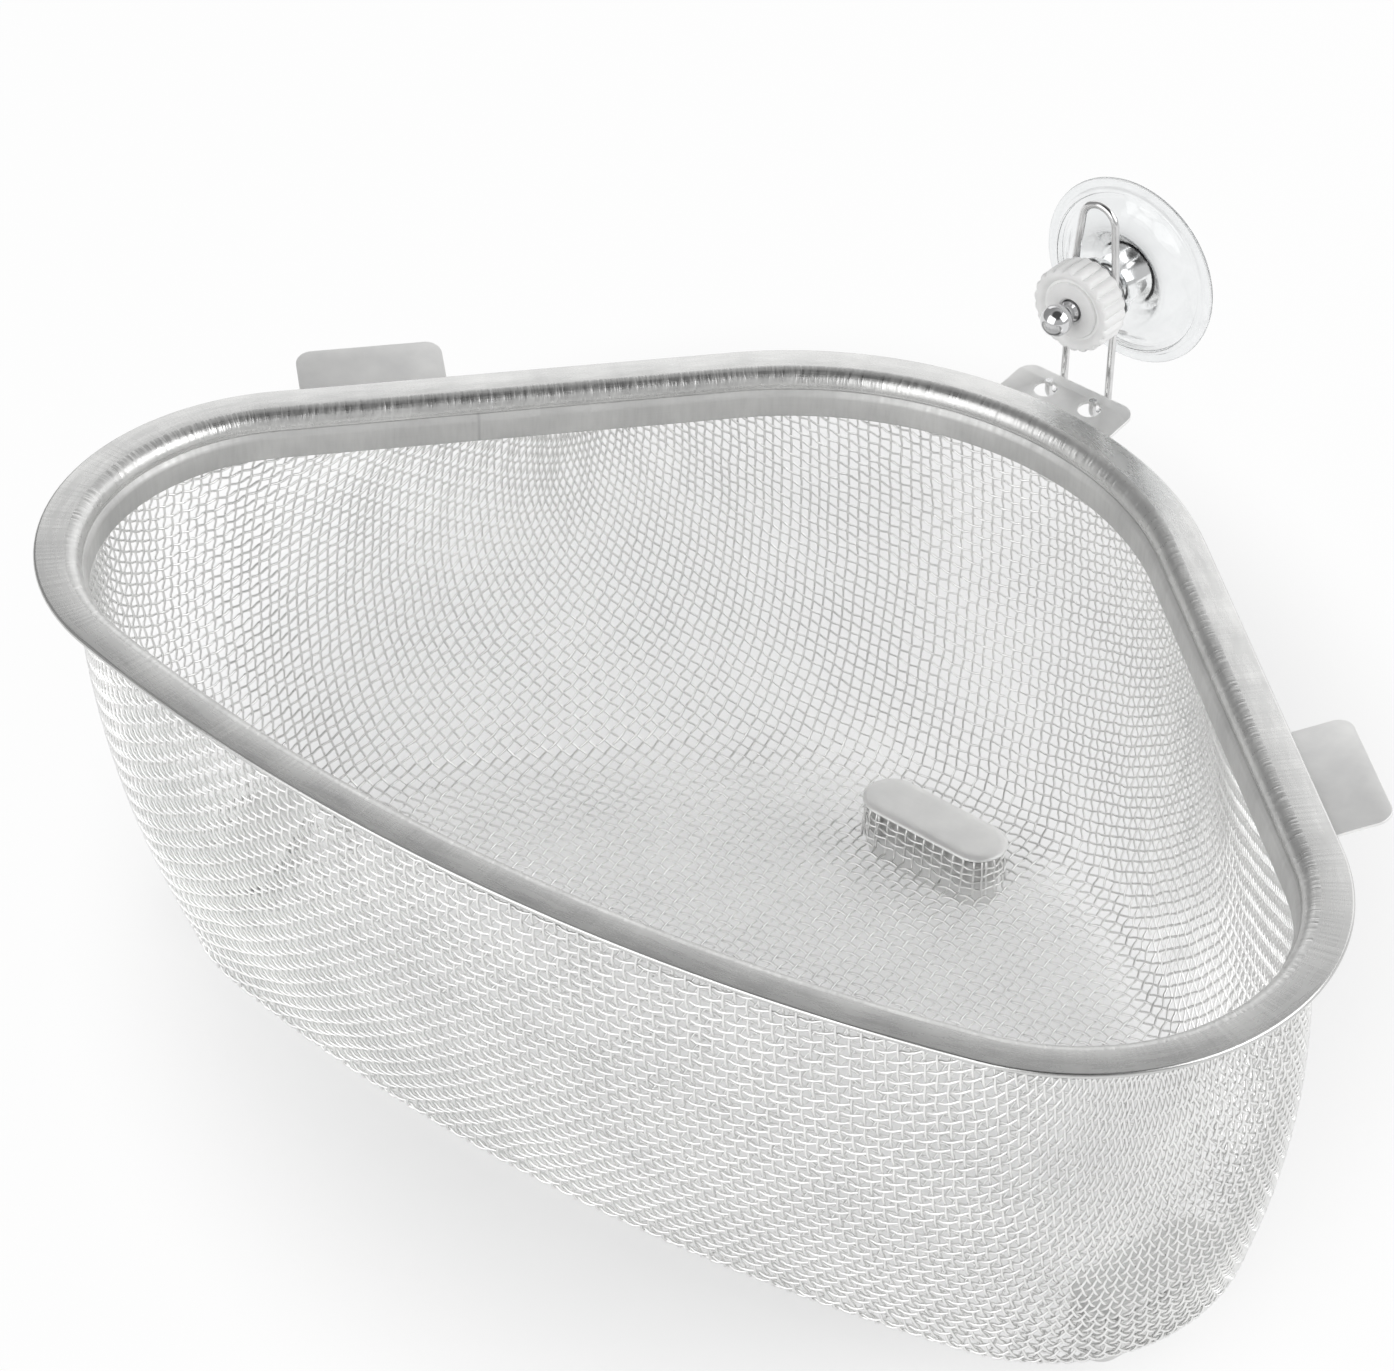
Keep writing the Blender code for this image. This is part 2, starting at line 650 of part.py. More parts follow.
def knurled_nut(mat, parent):
    """Round nut with soft lobes, a collar round its bore and a shallow recess."""
    near = -WIRE_DIAMETER / 2 - SEAT_GAP
    far = near - NUT_THICKNESS
    bore = STUD_RADIUS + SEAT_GAP
    steps = NUT_LOBES * 4
    angles = [2 * math.pi * i / steps for i in range(steps)]

    def lobed(radius, z):
        wave = [radius - NUT_LOBE_DEPTH / 2 * (1 - math.cos(a * NUT_LOBES)) for a in angles]
        return [Vector((r * math.cos(a), r * math.sin(a), z)) for r, a in zip(wave, angles)]

    def plain(radius, z):
        return [Vector((radius * math.cos(a), radius * math.sin(a), z)) for a in angles]

    rim = NUT_RADIUS - NUT_LOBE_DEPTH
    rings = [
        lobed(rim, near), lobed(NUT_RADIUS, near - NUT_LOBE_DEPTH), lobed(NUT_RADIUS, far + NUT_LOBE_DEPTH),
        lobed(rim, far), plain(NUT_COLLAR_RADIUS + NUT_RECESS, far),
        plain(NUT_COLLAR_RADIUS, far + NUT_RECESS), plain(bore, far + NUT_RECESS), plain(bore, near),
    ]
    bm = bmesh.new()
    stitch(bm, rings, True)
    return add_object("knurled_nut", bm, mat, parent)


def build():
    for old in list(bpy.data.objects):
        bpy.data.objects.remove(old)

    steel = material("satin_steel", (0.62, 0.62, 0.61), 0.32, 1.0)
    band_steel = material("band_steel", (0.55, 0.55, 0.54), 0.38, 1.0)
    strip_steel = material("strip_steel", (0.5, 0.5, 0.5), 0.4, 1.0)
    mesh_steel = material("mesh_steel", (0.66, 0.66, 0.65), 0.35, 1.0)
    tab_steel = material("tab_steel", (0.58, 0.58, 0.58), 0.42, 1.0)
    cap_steel = material("cap_steel", (0.6, 0.6, 0.6), 0.4, 1.0)
    foot_steel = material("foot_steel", (0.57, 0.57, 0.57), 0.4, 1.0)
    wire_steel = material("wire_steel", (0.7, 0.7, 0.7), 0.2, 1.0)
    stud_chrome = material("stud_chrome", (0.75, 0.75, 0.76), 0.08, 1.0)
    clear_vinyl = material("clear_vinyl", (0.9, 0.91, 0.92), 0.15, 0.0, 0.4)
    white_plastic = material("white_plastic", (0.88, 0.88, 0.87), 0.4, 0.0)

    turn = -HANGER_TURN
    hanger_x = RIM_APEX_RADIUS * math.sin(HANGER_TURN)
    hanger_y = RIM_APEX_CENTRE + RIM_APEX_RADIUS * math.cos(HANGER_TURN)
    web = HOLE_EDGE_DISTANCE - HOLE_DIAMETER / 2
    pivot_reach = HANGER_TAB_REACH - web / 2
    inner_radius = J_RADIUS - WIRE_DIAMETER / 2
    underside = -HEM_THICKNESS - SEAT_GAP - TAB_SHEET
    pivot_z = underside + math.sqrt(inner_radius ** 2 - (web / 2 + SEAT_GAP) ** 2)
    face_reach = pivot_reach + J_RADIUS + WIRE_DIAMETER / 2 + SEAT_GAP + CUP_DEPTH
    back_y = hanger_y + face_reach * math.cos(HANGER_TURN) + CUP_RADIUS * math.sin(HANGER_TURN)

    root = add_empty("part_frame", None, (0, -back_y / 2, RIM_HEIGHT))

    rim_frame(steel, root)
    flat_ring("inner_band", SKIRT_INSET + SEAT_GAP, BAND_SHEET, BAND_TOP_DROP, BAND_BOTTOM_DROP,
              band_steel, root)
    flat_ring("binding_strip", MESH_INSET - SEAT_GAP - STRIP_SHEET, STRIP_SHEET,
              STRIP_TOP_DROP, STRIP_BOTTOM_DROP, strip_steel, root)
    mesh_basket(mesh_steel, root)
    for place, x, y, foot_turn in foot_places():
        foot_cup("foot_cup_" + place, x, y, foot_turn, foot_steel, root)
        foot_cap("foot_cap_" + place, x, y, foot_turn, cap_steel, root)

    _, corner_x, corner_y = side_arc_centre(RIM)
    along = RIM_SIDE_RADIUS / ROOT_TWO
    back = SIDE_TAB_FROM_CORNER / ROOT_TWO
    tab_x = corner_x + along - back
    tab_y = corner_y + along + back
    for side, sign in (("right", 1), ("left", -1)):
        frame = add_empty(side + "_tab_frame", root, (sign * tab_x, tab_y, 0), -sign * math.pi / 4)
        tab(side + "_tab", SIDE_TAB_WIDTH, SIDE_TAB_REACH, tab_steel, frame)
    hanger_frame = add_empty("hanger_frame", root, (hanger_x, hanger_y, 0), turn)
    hanger_tab(tab_steel, hanger_frame)

    pivot = add_empty("hook_pivot", hanger_frame, (0, pivot_reach, pivot_z))
    wire_hook(wire_steel, pivot)
    carrier = add_empty("cup_carrier", pivot, (0, J_RADIUS, STUD_HEIGHT))
    carrier.rotation_euler = (-math.pi / 2, 0, 0)
    suction_cup(clear_vinyl, carrier)
    stud(stud_chrome, carrier)
    knurled_nut(white_plastic, carrier)

    bpy.context.view_layer.update()
    for name in ("hook_pivot", "cup_carrier", "right_tab_frame"):
        place = bpy.data.objects[name].matrix_world.translation
        print(name, [round(v, 6) for v in place])
    print("hinge axis", [round(math.cos(HANGER_TURN), 6), round(-math.sin(HANGER_TURN), 6), 0])
    print("feet", [[name, round(x, 6), round(y - back_y / 2, 6)] for name, x, y, _ in foot_places()])


build()
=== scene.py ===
# %% [markdown]
# # A hanging strainer basket in woven steel wire
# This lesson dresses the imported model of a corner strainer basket. The frame gives every
# piece its place, so each finished mesh is made in metres right where it belongs, and then
# rides on the body that carries it.

# %% Load the frame
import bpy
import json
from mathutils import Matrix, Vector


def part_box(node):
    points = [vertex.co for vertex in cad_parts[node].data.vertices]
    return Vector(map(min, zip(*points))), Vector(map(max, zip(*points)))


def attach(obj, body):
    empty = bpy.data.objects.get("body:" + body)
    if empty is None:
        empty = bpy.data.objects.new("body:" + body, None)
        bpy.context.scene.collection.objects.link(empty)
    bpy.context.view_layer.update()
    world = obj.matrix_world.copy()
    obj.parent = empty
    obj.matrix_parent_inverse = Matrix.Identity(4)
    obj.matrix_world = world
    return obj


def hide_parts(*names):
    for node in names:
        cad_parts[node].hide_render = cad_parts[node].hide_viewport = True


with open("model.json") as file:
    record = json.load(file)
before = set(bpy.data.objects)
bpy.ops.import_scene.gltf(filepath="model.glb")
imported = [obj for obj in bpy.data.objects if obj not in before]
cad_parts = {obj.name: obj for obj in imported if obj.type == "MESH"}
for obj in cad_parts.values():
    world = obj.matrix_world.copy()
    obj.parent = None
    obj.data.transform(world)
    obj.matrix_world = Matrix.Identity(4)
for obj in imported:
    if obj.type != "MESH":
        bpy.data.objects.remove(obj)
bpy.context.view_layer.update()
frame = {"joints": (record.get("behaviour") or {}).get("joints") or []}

# %% Modules and units
import json
import math
from collections import namedtuple

import bmesh
import bpy
import numpy as np
from mathutils import Matrix, Vector

MM = 0.001
ROOT_TWO = math.sqrt(2)
scene = bpy.context.scene

# %% [markdown]
# ## Measures
# The rim is a right angled corner triangle with round corners and a bowed front. Its width,
# front and top come from the frame; the radii are the driving sizes of the real rim. All
# outlines are worked out with the front of the rim at y = 0 and its top at z = 0, and one
# offset carries them into the frame.

# %% Measures from the frame
rim_low, rim_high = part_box("rim_frame")
bag_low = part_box("mesh_basket")[0]
foot_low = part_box("foot_cup_apex")[0]
OFFSET = np.array([0.0, rim_low.y, rim_high.z])
RIM_WIDTH = rim_high.x - rim_low.x
BASKET_DEPTH = rim_high.z - bag_low.z
FOOT_DROP = bag_low.z - foot_low.z
RIM_FRONT_BOW = 11.3 * MM
RIM_SIDE_RADIUS = 52.2 * MM
RIM_APEX_RADIUS = 80.9 * MM
RIM_CORNER_OUT = RIM_WIDTH / 2 - RIM_SIDE_RADIUS
RIM_CORNER_BACK = RIM_SIDE_RADIUS + RIM_FRONT_BOW
RIM_APEX_CENTRE = RIM_CORNER_BACK + RIM_CORNER_OUT - ROOT_TWO * (RIM_APEX_RADIUS - RIM_SIDE_RADIUS)
print("rim width", round(RIM_WIDTH / MM, 2), "mm, basket depth", round(BASKET_DEPTH / MM, 2), "mm")

# %% [markdown]
# ## The outline
# One function draws the round cornered triangle for the rim, for the bands and for every
# level of the bag. A curve drawn once could be scaled instead, but then its corners would
# change with its width. The function takes five sizes: how far the legs, the front and the
# sides are drawn in, and the two corner radii. Its arcs stay arcs at any count of points.

# %% The outline
Section = namedtuple("Section", "leg_inset front_inset side_inset side_radius apex_radius")
RIM = Section(0, 0, 0, RIM_SIDE_RADIUS, RIM_APEX_RADIUS)
APEX_STEPS = 40
SIDE_STEPS = 24
FRONT_STEPS = 50
LEG_STEPS = 24


def drawn_in(section, amount):
    """The same outline with every edge moved inward by one amount."""
    return Section(section.leg_inset + amount, section.front_inset + amount,
                   section.side_inset + amount, section.side_radius - amount,
                   section.apex_radius - amount)


def arc(cx, cy, radius, start, end, steps):
    angle = np.linspace(start, end, steps + 1)
    return np.stack([cx + radius * np.cos(angle), cy + radius * np.sin(angle)], 1)


def outline(section):
    """Clockwise points of the outline, seen from above, from the middle of the apex."""
    leg, front, side, side_radius, apex_radius = section
    apex_y = RIM_APEX_CENTRE + ROOT_TWO * (RIM_APEX_RADIUS - leg - apex_radius)
    x = RIM_WIDTH / 2 - side - side_radius
    y = apex_y + ROOT_TWO * (apex_radius - side_radius) - x
    rise = y - front
    front_radius = (x * x + rise * rise - side_radius ** 2) / (2 * (rise - side_radius))
    front_y = front + front_radius
    turn = math.atan2(y - front_y, x)
    apex = arc(0, apex_y, apex_radius, math.pi / 2, math.pi / 4, APEX_STEPS)
    upper = arc(x, y, side_radius, math.pi / 4, 0, SIDE_STEPS)
    lower = arc(x, y, side_radius, 0, turn, SIDE_STEPS)[1:]
    bow = arc(0, front_y, front_radius, turn, -math.pi / 2, FRONT_STEPS)[1:]
    share = np.linspace(0, 1, LEG_STEPS + 1)[1:-1, None]
    leg_points = apex[-1] * (1 - share) + upper[0] * share
    right = np.concatenate([apex, leg_points, upper, lower, bow])
    return np.concatenate([right, right[-2:0:-1] * [-1, 1]])


def ring(section, z):
    points = outline(section)
    return np.column_stack([points, np.full(len(points), z)])


print("outline points", len(outline(RIM)))

# %% [markdown]
# ## Meshes from rings
# Rolled and pressed sheet is a section carried along a path, so most pieces here are rows of
# rings joined by faces. The helper also writes a UV map in metres: U runs along the ring and
# V across it. The steel's fine lines read that map, and so they follow the rim round its
# corners as rolling marks do.

# %% Meshes from rings
SHARP_ANGLE = math.radians(38)


def finished(name, mesh):
    """An object for a mesh that is already in place, with faces outward and smooth shading."""
    bm = bmesh.new()
    bm.from_mesh(mesh)
    if bm.calc_volume(signed=True) < 0:
        bmesh.ops.reverse_faces(bm, faces=bm.faces)
    bm.to_mesh(mesh)
    bm.free()
    mesh.shade_smooth()
    mesh.set_sharp_from_angle(angle=SHARP_ANGLE)
    obj = bpy.data.objects.new(name, mesh)
    scene.collection.objects.link(obj)
    return obj


def lofted(name, rows, closed_profile=False):
    """A closed mesh from an array of rings, one row each, all with the same count of points."""
    rows = np.asarray(rows, float)
    levels, count = rows.shape[:2]
    along = np.linalg.norm(np.roll(rows[0], -1, 0) - rows[0], axis=1)
    u = np.concatenate([[0], np.cumsum(along)])
    steps = np.linalg.norm(np.diff(rows, axis=0), axis=2).mean(1)
    v = np.concatenate([[0], np.cumsum(steps)])
    faces, places = [], []
    for level in range(levels if closed_profile else levels - 1):
        upper = (level + 1) % levels
        v_low = v[level]
        v_high = v[upper] if upper else v[level] + steps.mean()
        for i in range(count):
            j = (i + 1) % count
            faces.append((level * count + i, level * count + j, upper * count + j, upper * count + i))
            places += [(u[i], v_low), (u[i + 1], v_low), (u[i + 1], v_high), (u[i], v_high)]
    if not closed_profile:
        faces.append(tuple(range(count))[::-1])
        places += [tuple(rows[0, i, :2]) for i in range(count)][::-1]
        faces.append(tuple((levels - 1) * count + i for i in range(count)))
        places += [tuple(rows[-1, i, :2]) for i in range(count)]
    mesh = bpy.data.meshes.new(name)
    mesh.from_pydata((rows.reshape(-1, 3)).tolist(), [], faces)
    layer = mesh.uv_layers.new(name="run")
    layer.data.foreach_set("uv", np.array(places, np.float32).ravel())
    return finished(name, mesh)


def dress(obj, material, body, slot, *nodes):
    """Gives a finished piece its material, its body and the solids it stands for; slot is not used."""
    obj.data.materials.clear()
    obj.data.materials.append(material)
    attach(obj, body)
    if nodes:
        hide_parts(*nodes)
    print(obj.name, "on", body, len(obj.data.polygons), "faces")

# %% [markdown]
# ## Shared surface effects
# Sheet steel has two kinds of marks: long fine lines from rolling, and a cloudy change of
# tone. Each material could have noise nodes of its own. Here one node group makes both marks
# from any coordinates, and every steel places it with its own scales. It puts out only masks
# and a height, so the shader itself stays in each material.

# %% Node helpers
def add_node(tree, kind, inputs=None, **settings):
    """A node with its settings; each input named gets a socket to link or a plain value."""
    node = tree.nodes.new(kind)
    for key, value in settings.items():
        setattr(node, key, value)
    for key, value in (inputs or {}).items():
        if isinstance(value, bpy.types.NodeSocket):
            tree.links.new(value, node.inputs[key])
        else:
            node.inputs[key].default_value = value
    return node


def link_math(tree, operation, first, second, clamp=False):
    """The result of a math node; each operand is a socket or a plain number."""
    node = add_node(tree, "ShaderNodeMath", {0: first, 1: second}, operation=operation, use_clamp=clamp)
    return node.outputs[0]


def group_socket(tree, name, direction, kind="NodeSocketFloat", value=None):
    socket = tree.interface.new_socket(name=name, in_out=direction, socket_type=kind)
    if value is not None:
        socket.default_value = value
    return socket


def shader_group(name, inputs, outputs):
    """A group that takes a vector and some numbers with their usual values, and what comes in."""
    tree = bpy.data.node_groups.new(name, "ShaderNodeTree")
    group_socket(tree, "Vector", "INPUT", "NodeSocketVector")
    for key, value in inputs.items():
        group_socket(tree, key, "INPUT", value=value)
    for key in outputs:
        group_socket(tree, key, "OUTPUT")
    return tree, add_node(tree, "NodeGroupInput").outputs

# %% The rolled sheet group
CLOUD_HEIGHT = 0.4


def rolled_sheet_group():
    tree, given = shader_group(
        "rolled_sheet", {"Along": 60.0, "Across": 2500.0, "Clouds": 90.0}, ("Lines", "Cloud", "Height"))
    stretch = add_node(tree, "ShaderNodeCombineXYZ", {
        "X": given["Along"], "Y": given["Across"], "Z": given["Along"]})
    scaled = add_node(tree, "ShaderNodeVectorMath", {
        0: given["Vector"], 1: stretch.outputs[0]}, operation="MULTIPLY")
    lines = add_node(tree, "ShaderNodeTexNoise", {
        "Vector": scaled.outputs[0], "Scale": 1.0, "Detail": 4.0, "Roughness": 0.65}).outputs["Fac"]
    clouds = add_node(tree, "ShaderNodeTexNoise", {
        "Vector": given["Vector"], "Scale": given["Clouds"], "Detail": 3.0, "Roughness": 0.55}).outputs["Fac"]
    height = link_math(tree, "ADD", link_math(tree, "MULTIPLY", clouds, CLOUD_HEIGHT), lines)
    add_node(tree, "NodeGroupOutput", {"Lines": lines, "Cloud": clouds, "Height": height})
    return tree


rolled_sheet = rolled_sheet_group()
print("group", rolled_sheet.name, "with", len(rolled_sheet.nodes), "nodes")

# %% [markdown]
# Rolling a rim round a corner also leaves fine ticks across the run, strongest on the rolled
# edge, and the strip's two ends meet in one short seam. Both are finer than the mesh's faces,
# so they are drawn from the piece's own map: ticks over the first part of the section, the
# seam at one place along it. The steel uses the ticks twice, for relief and for a duller gloss,
# and the seam for relief and a tone; on the rim that tone is a painted highlight.

# %% The cross marks group
MARK_FADE = 0.8 * MM
FLAT_TICKS = 0.12
TICKS_DOWN = 140.0


def cross_marks_group():
    usual = {"Fineness": 950.0, "Width": 4.8 * MM, "Seam Place": 0.0, "Seam Width": 0.5 * MM}
    tree, given = shader_group("cross_marks", usual, ("Ticks", "Seam"))
    parts = add_node(tree, "ShaderNodeSeparateXYZ", {0: given["Vector"]}).outputs
    place = add_node(tree, "ShaderNodeCombineXYZ", {
        "X": link_math(tree, "MULTIPLY", parts["X"], given["Fineness"]),
        "Y": link_math(tree, "MULTIPLY", parts["Y"], TICKS_DOWN)})
    ticks = add_node(tree, "ShaderNodeTexNoise", {
        "Vector": place.outputs[0], "Scale": 1.0, "Detail": 2.0, "Roughness": 0.6})
    past = link_math(tree, "SUBTRACT", parts["Y"], given["Width"])
    rolled = link_math(tree, "SUBTRACT", 1.0, link_math(tree, "DIVIDE", past, MARK_FADE), clamp=True)
    share = link_math(tree, "MAXIMUM", rolled, FLAT_TICKS)
    away = link_math(tree, "ABSOLUTE", link_math(tree, "SUBTRACT", parts["X"], given["Seam Place"]), 0.0)
    far = link_math(tree, "DIVIDE", away, given["Seam Width"])
    near = link_math(tree, "SUBTRACT", 1.0, far, clamp=True)
    add_node(tree, "NodeGroupOutput", {
        "Ticks": link_math(tree, "MULTIPLY", ticks.outputs["Fac"], share),
        "Seam": link_math(tree, "MULTIPLY", near, rolled)})
    return tree


cross_marks = cross_marks_group()
print("group", cross_marks.name, "with", len(cross_marks.nodes), "nodes")

# %% [markdown]
# ## Steels
# All steels are the same metal with another surface: a brushed rim, pale matt tabs, bright
# drawn wire. A tree drawn for each would say the same thing nine times, so one function sets
# the plain values on the shader and lets the groups drive colour, roughness and a small bump.

# %% Material helpers
NOISE_LOW = 0.3
NOISE_HIGH = 0.7


def new_material(name):
    material = bpy.data.materials.new(name)
    material.use_nodes = True
    tree = material.node_tree
    return material, tree, tree.nodes["Principled BSDF"]


def mapped(tree, value, low, high):
    """The values that noise mostly takes, spread over low to high."""
    return add_node(tree, "ShaderNodeMapRange", {
        "Value": value, "From Min": NOISE_LOW, "From Max": NOISE_HIGH,
        "To Min": low, "To Max": high}).outputs["Result"]


def mixed(tree, share, first, second):
    """A mix of two colours, each a socket or a plain colour."""
    node = add_node(tree, "ShaderNodeMix", data_type="RGBA")
    for key, value in (("Factor", share), ("A", first), ("B", second)):
        if isinstance(value, tuple):
            node.inputs[key].default_value = (*value, 1)
        else:
            tree.links.new(value, node.inputs[key])
    return node.outputs["Result"]


def coordinates(tree, uv):
    if uv:
        return add_node(tree, "ShaderNodeUVMap", uv_map="run").outputs["UV"]
    return add_node(tree, "ShaderNodeTexCoord").outputs["Object"]


def sheet_marks(tree, vector, along, across, clouds, dark, light):
    """The marks of rolled sheet at the given scales, and the colour that its clouds give."""
    marks = add_node(tree, "ShaderNodeGroup", {
        "Vector": vector, "Along": along, "Across": across, "Clouds": clouds},
        node_tree=rolled_sheet).outputs
    return marks, mixed(tree, mapped(tree, marks["Cloud"], 0.0, 1.0), dark, light)


def feed_shader(tree, shader, colour, matt, height, bump, depth):
    """Links what changes over the surface: colour, roughness and a small bump."""
    relief = add_node(tree, "ShaderNodeBump", {"Height": height, "Strength": bump, "Distance": depth})
    for key, value in (("Base Color", colour), ("Roughness", matt), ("Normal", relief.outputs["Normal"])):
        tree.links.new(value, shader.inputs[key])

# %% The steel
STEEL_RELIEF = 0.02 * MM
TICK_DULLNESS = 0.2
Seam = namedtuple("Seam", "place width tone rise tick_rise")


def steel(name, dark, light, rough, along, across, clouds, bump, uv=True, seam=None):
    """Metal whose tone and gloss change with the rolling lines; rough is a low and a high value.

    A seam is its place along the run, how wide a strip it and the ticks cross, its grey tone,
    its height and the ticks' height. A tone brighter than the steel is a painted highlight; a
    darker one is a dark joint.
    """
    material, tree, shader = new_material(name)
    vector = coordinates(tree, uv)
    marks, colour = sheet_marks(tree, vector, along, across, clouds, dark, light)
    matt = mapped(tree, marks["Lines"], *rough)
    height = marks["Height"]
    if seam:
        cross = add_node(tree, "ShaderNodeGroup", {
            "Vector": vector, "Seam Place": seam.place, "Width": seam.width},
            node_tree=cross_marks).outputs
        for mark, rise in (("Ticks", seam.tick_rise), ("Seam", seam.rise)):
            height = link_math(tree, "ADD", height, link_math(tree, "MULTIPLY", cross[mark], rise))
        matt = link_math(tree, "ADD", matt, mapped(tree, cross["Ticks"], 0.0, TICK_DULLNESS))
        colour = mixed(tree, cross["Seam"], colour, (seam.tone, seam.tone, seam.tone))
    feed_shader(tree, shader, colour, matt, height, bump, STEEL_RELIEF)
    shader.inputs["Metallic"].default_value = 1.0
    return material

# %% Where the seams are
FLANGE_WIDTH = 6.1 * MM
ROLL_RADIUS = 3.2 * MM
SEAT_GAP = 0.3 * MM
SKIRT_INSET = FLANGE_WIDTH + ROLL_RADIUS
BAND_INSET = SKIRT_INSET + SEAT_GAP


def run_to(inset, x, y):
    """Length along an outline, drawn in by the inset, up to the point nearest to x, y."""
    points = outline(drawn_in(RIM, inset))
    nearest = np.hypot(points[:, 0] - x, points[:, 1] - y).argmin()
    return float(np.linalg.norm(np.diff(points[:nearest + 1], axis=0), axis=1).sum())


# The rim seam's tone is brighter than the satin steel, a painted highlight on the seam; the band seam's
# darker tone is its dark joint.
rim_seam = Seam(place=run_to(FLANGE_WIDTH, -89 * MM, 127 * MM), width=4.4 * MM,
                tone=0.75, rise=4.0, tick_rise=18.0)
band_seam = Seam(place=run_to(BAND_INSET, -87 * MM, 124.5 * MM), width=8 * MM,
                 tone=0.5, rise=1.0, tick_rise=4.0)
print("seams", round(rim_seam.place / MM, 1), "and", round(band_seam.place / MM, 1), "mm along")

# %% The steel finishes
satin_steel = steel("satin_steel", (0.57, 0.57, 0.565), (0.69, 0.69, 0.68), (0.2, 0.34),
                    90, 5200, 70, 0.5, seam=rim_seam)
band_steel = steel("band_steel", (0.56, 0.56, 0.555), (0.68, 0.68, 0.67), (0.4, 0.5),
                   60, 4200, 60, 0.4, seam=band_seam)
strip_steel = steel("strip_steel", (0.54, 0.54, 0.535), (0.66, 0.66, 0.65), (0.3, 0.44),
                    60, 4200, 60, 0.4)
tab_steel = steel("tab_steel", (0.84, 0.84, 0.835), (0.93, 0.93, 0.92), (0.5, 0.62),
                  300, 3600, 120, 0.5, uv=False)
cap_steel = steel("cap_steel", (0.83, 0.83, 0.825), (0.91, 0.91, 0.9), (0.5, 0.62),
                  300, 3600, 120, 0.5, uv=False)
foot_steel = steel("foot_steel", (0.66, 0.66, 0.655), (0.76, 0.76, 0.75), (0.34, 0.48),
                   300, 3600, 120, 0.5, uv=False)
mesh_steel = steel("mesh_steel", (0.82, 0.82, 0.815), (0.94, 0.94, 0.93), (0.26, 0.4),
                   700, 700, 40, 0.3, uv=False)
wire_steel = steel("wire_steel", (0.62, 0.62, 0.62), (0.78, 0.78, 0.78), (0.12, 0.24),
                   900, 900, 200, 0.3, uv=False)
stud_chrome = steel("stud_chrome", (0.66, 0.66, 0.67), (0.76, 0.76, 0.77), (0.06, 0.14),
                    900, 900, 250, 0.15, uv=False)
print("steels ready, the rim's with", len(satin_steel.node_tree.nodes), "nodes")

# %% [markdown]
# ## Plastics
# The cup is clear soft vinyl, a little hazy with handling; the nut is plain white moulding.
# Two flat colours would look like new glass and paint, so both use the same clouds as the
# steels for their faint unevenness.

# %% Plastic materials
PLASTIC_RELIEF = 0.03 * MM
PLASTIC_IOR = 1.5
LINES_TO_CLOUDS = 4


def plastic(name, dark, light, rough, clouds, bump, transmission=0.0):
    material, tree, shader = new_material(name)
    lines = clouds * LINES_TO_CLOUDS
    marks, colour = sheet_marks(tree, coordinates(tree, False), lines, lines, clouds, dark, light)
    matt = mapped(tree, marks["Lines"], *rough)
    feed_shader(tree, shader, colour, matt, marks["Height"], bump, PLASTIC_RELIEF)
    shader.inputs["Transmission Weight"].default_value = transmission
    shader.inputs["IOR"].default_value = PLASTIC_IOR
    return material


clear_vinyl = plastic("clear_vinyl", (0.86, 0.875, 0.88), (0.93, 0.94, 0.945), (0.03, 0.09), 160, 0.2, 1.0)
white_plastic = plastic("white_plastic", (0.84, 0.84, 0.835), (0.9, 0.9, 0.895), (0.38, 0.48), 220, 0.3)
print("plastics ready, the cup's with", len(clear_vinyl.node_tree.nodes), "nodes")

# %% [markdown]
# ## The rim
# The rim is one strip of sheet: hemmed under at its outer edge, flat on top, rolled down at
# the inside into a skirt that the mesh is clamped against. A curve with a bevel profile could
# carry that section round as well, but its own corner joints would thin the sheet. Outlines
# drawn in by set amounts keep the width true and give it all in one mesh.

# %% The rim
RIM_SHEET = 0.5 * MM
SKIRT_DROP = 9.0 * MM
HEM_WIDTH = 2.4 * MM
HEM_THICKNESS = 1.2 * MM
QUARTER_STEPS = 12
LIP_STEPS = 6
CUT_EDGE_STEPS = 4


def quarter(inset, drop, radius, start, end, steps=QUARTER_STEPS):
    """Points of an arc in the rim's section, as inset from the outer edge and drop below the top."""
    points = arc(inset, -drop, radius, math.radians(start), math.radians(end), steps)
    return [(x, -y) for x, y in points]


def rim_section():
    hem = HEM_THICKNESS / 2
    lip = RIM_SHEET / 2
    points = quarter(FLANGE_WIDTH, ROLL_RADIUS, ROLL_RADIUS, 90, 0)
    points += quarter(SKIRT_INSET - lip, SKIRT_DROP - lip, lip, 0, -180, LIP_STEPS)
    points += quarter(FLANGE_WIDTH, ROLL_RADIUS, ROLL_RADIUS - RIM_SHEET, 0, 90)
    points += [(HEM_WIDTH + lip, RIM_SHEET)]
    points += quarter(HEM_WIDTH, HEM_THICKNESS - lip, lip, 0, -90, CUT_EDGE_STEPS)
    points += quarter(hem, hem, hem, 270, 90)
    return points


def carried_round(name, section):
    rows = [ring(drawn_in(RIM, inset), -drop) + OFFSET for inset, drop in section]
    return lofted(name, rows, closed_profile=True)


dress(carried_round("rolled_rim", rim_section()), satin_steel, "basket", "satin_steel", "rim_frame")

# %% [markdown]
# ## The two bands that clamp the mesh
# The mesh's cut edge is trapped between the skirt and a strip outside it, and a bright inner
# band hides the joint from the inside. Both are thin rings with rounded edges, carried round
# as the rim is. The inner one is pressed in, so its top leans against the skirt and its face
# is a little barrelled; a plain ring would leave a dark gap there.

# %% The bands
BAND_SHEET = 0.5 * MM
BAND_TOP = 3.7 * MM
BAND_BOTTOM = 10.1 * MM
STRIP_TOP = 1.5 * MM
STRIP_BOTTOM = 5.2 * MM
MESH_THICKNESS = 0.8 * MM
MESH_INSET = SKIRT_INSET - RIM_SHEET - SEAT_GAP - MESH_THICKNESS
LEAN = 0.6 * MM
LEAN_HEIGHT = 1.4 * MM
BARREL = 0.15 * MM
FACE_POINTS = 12


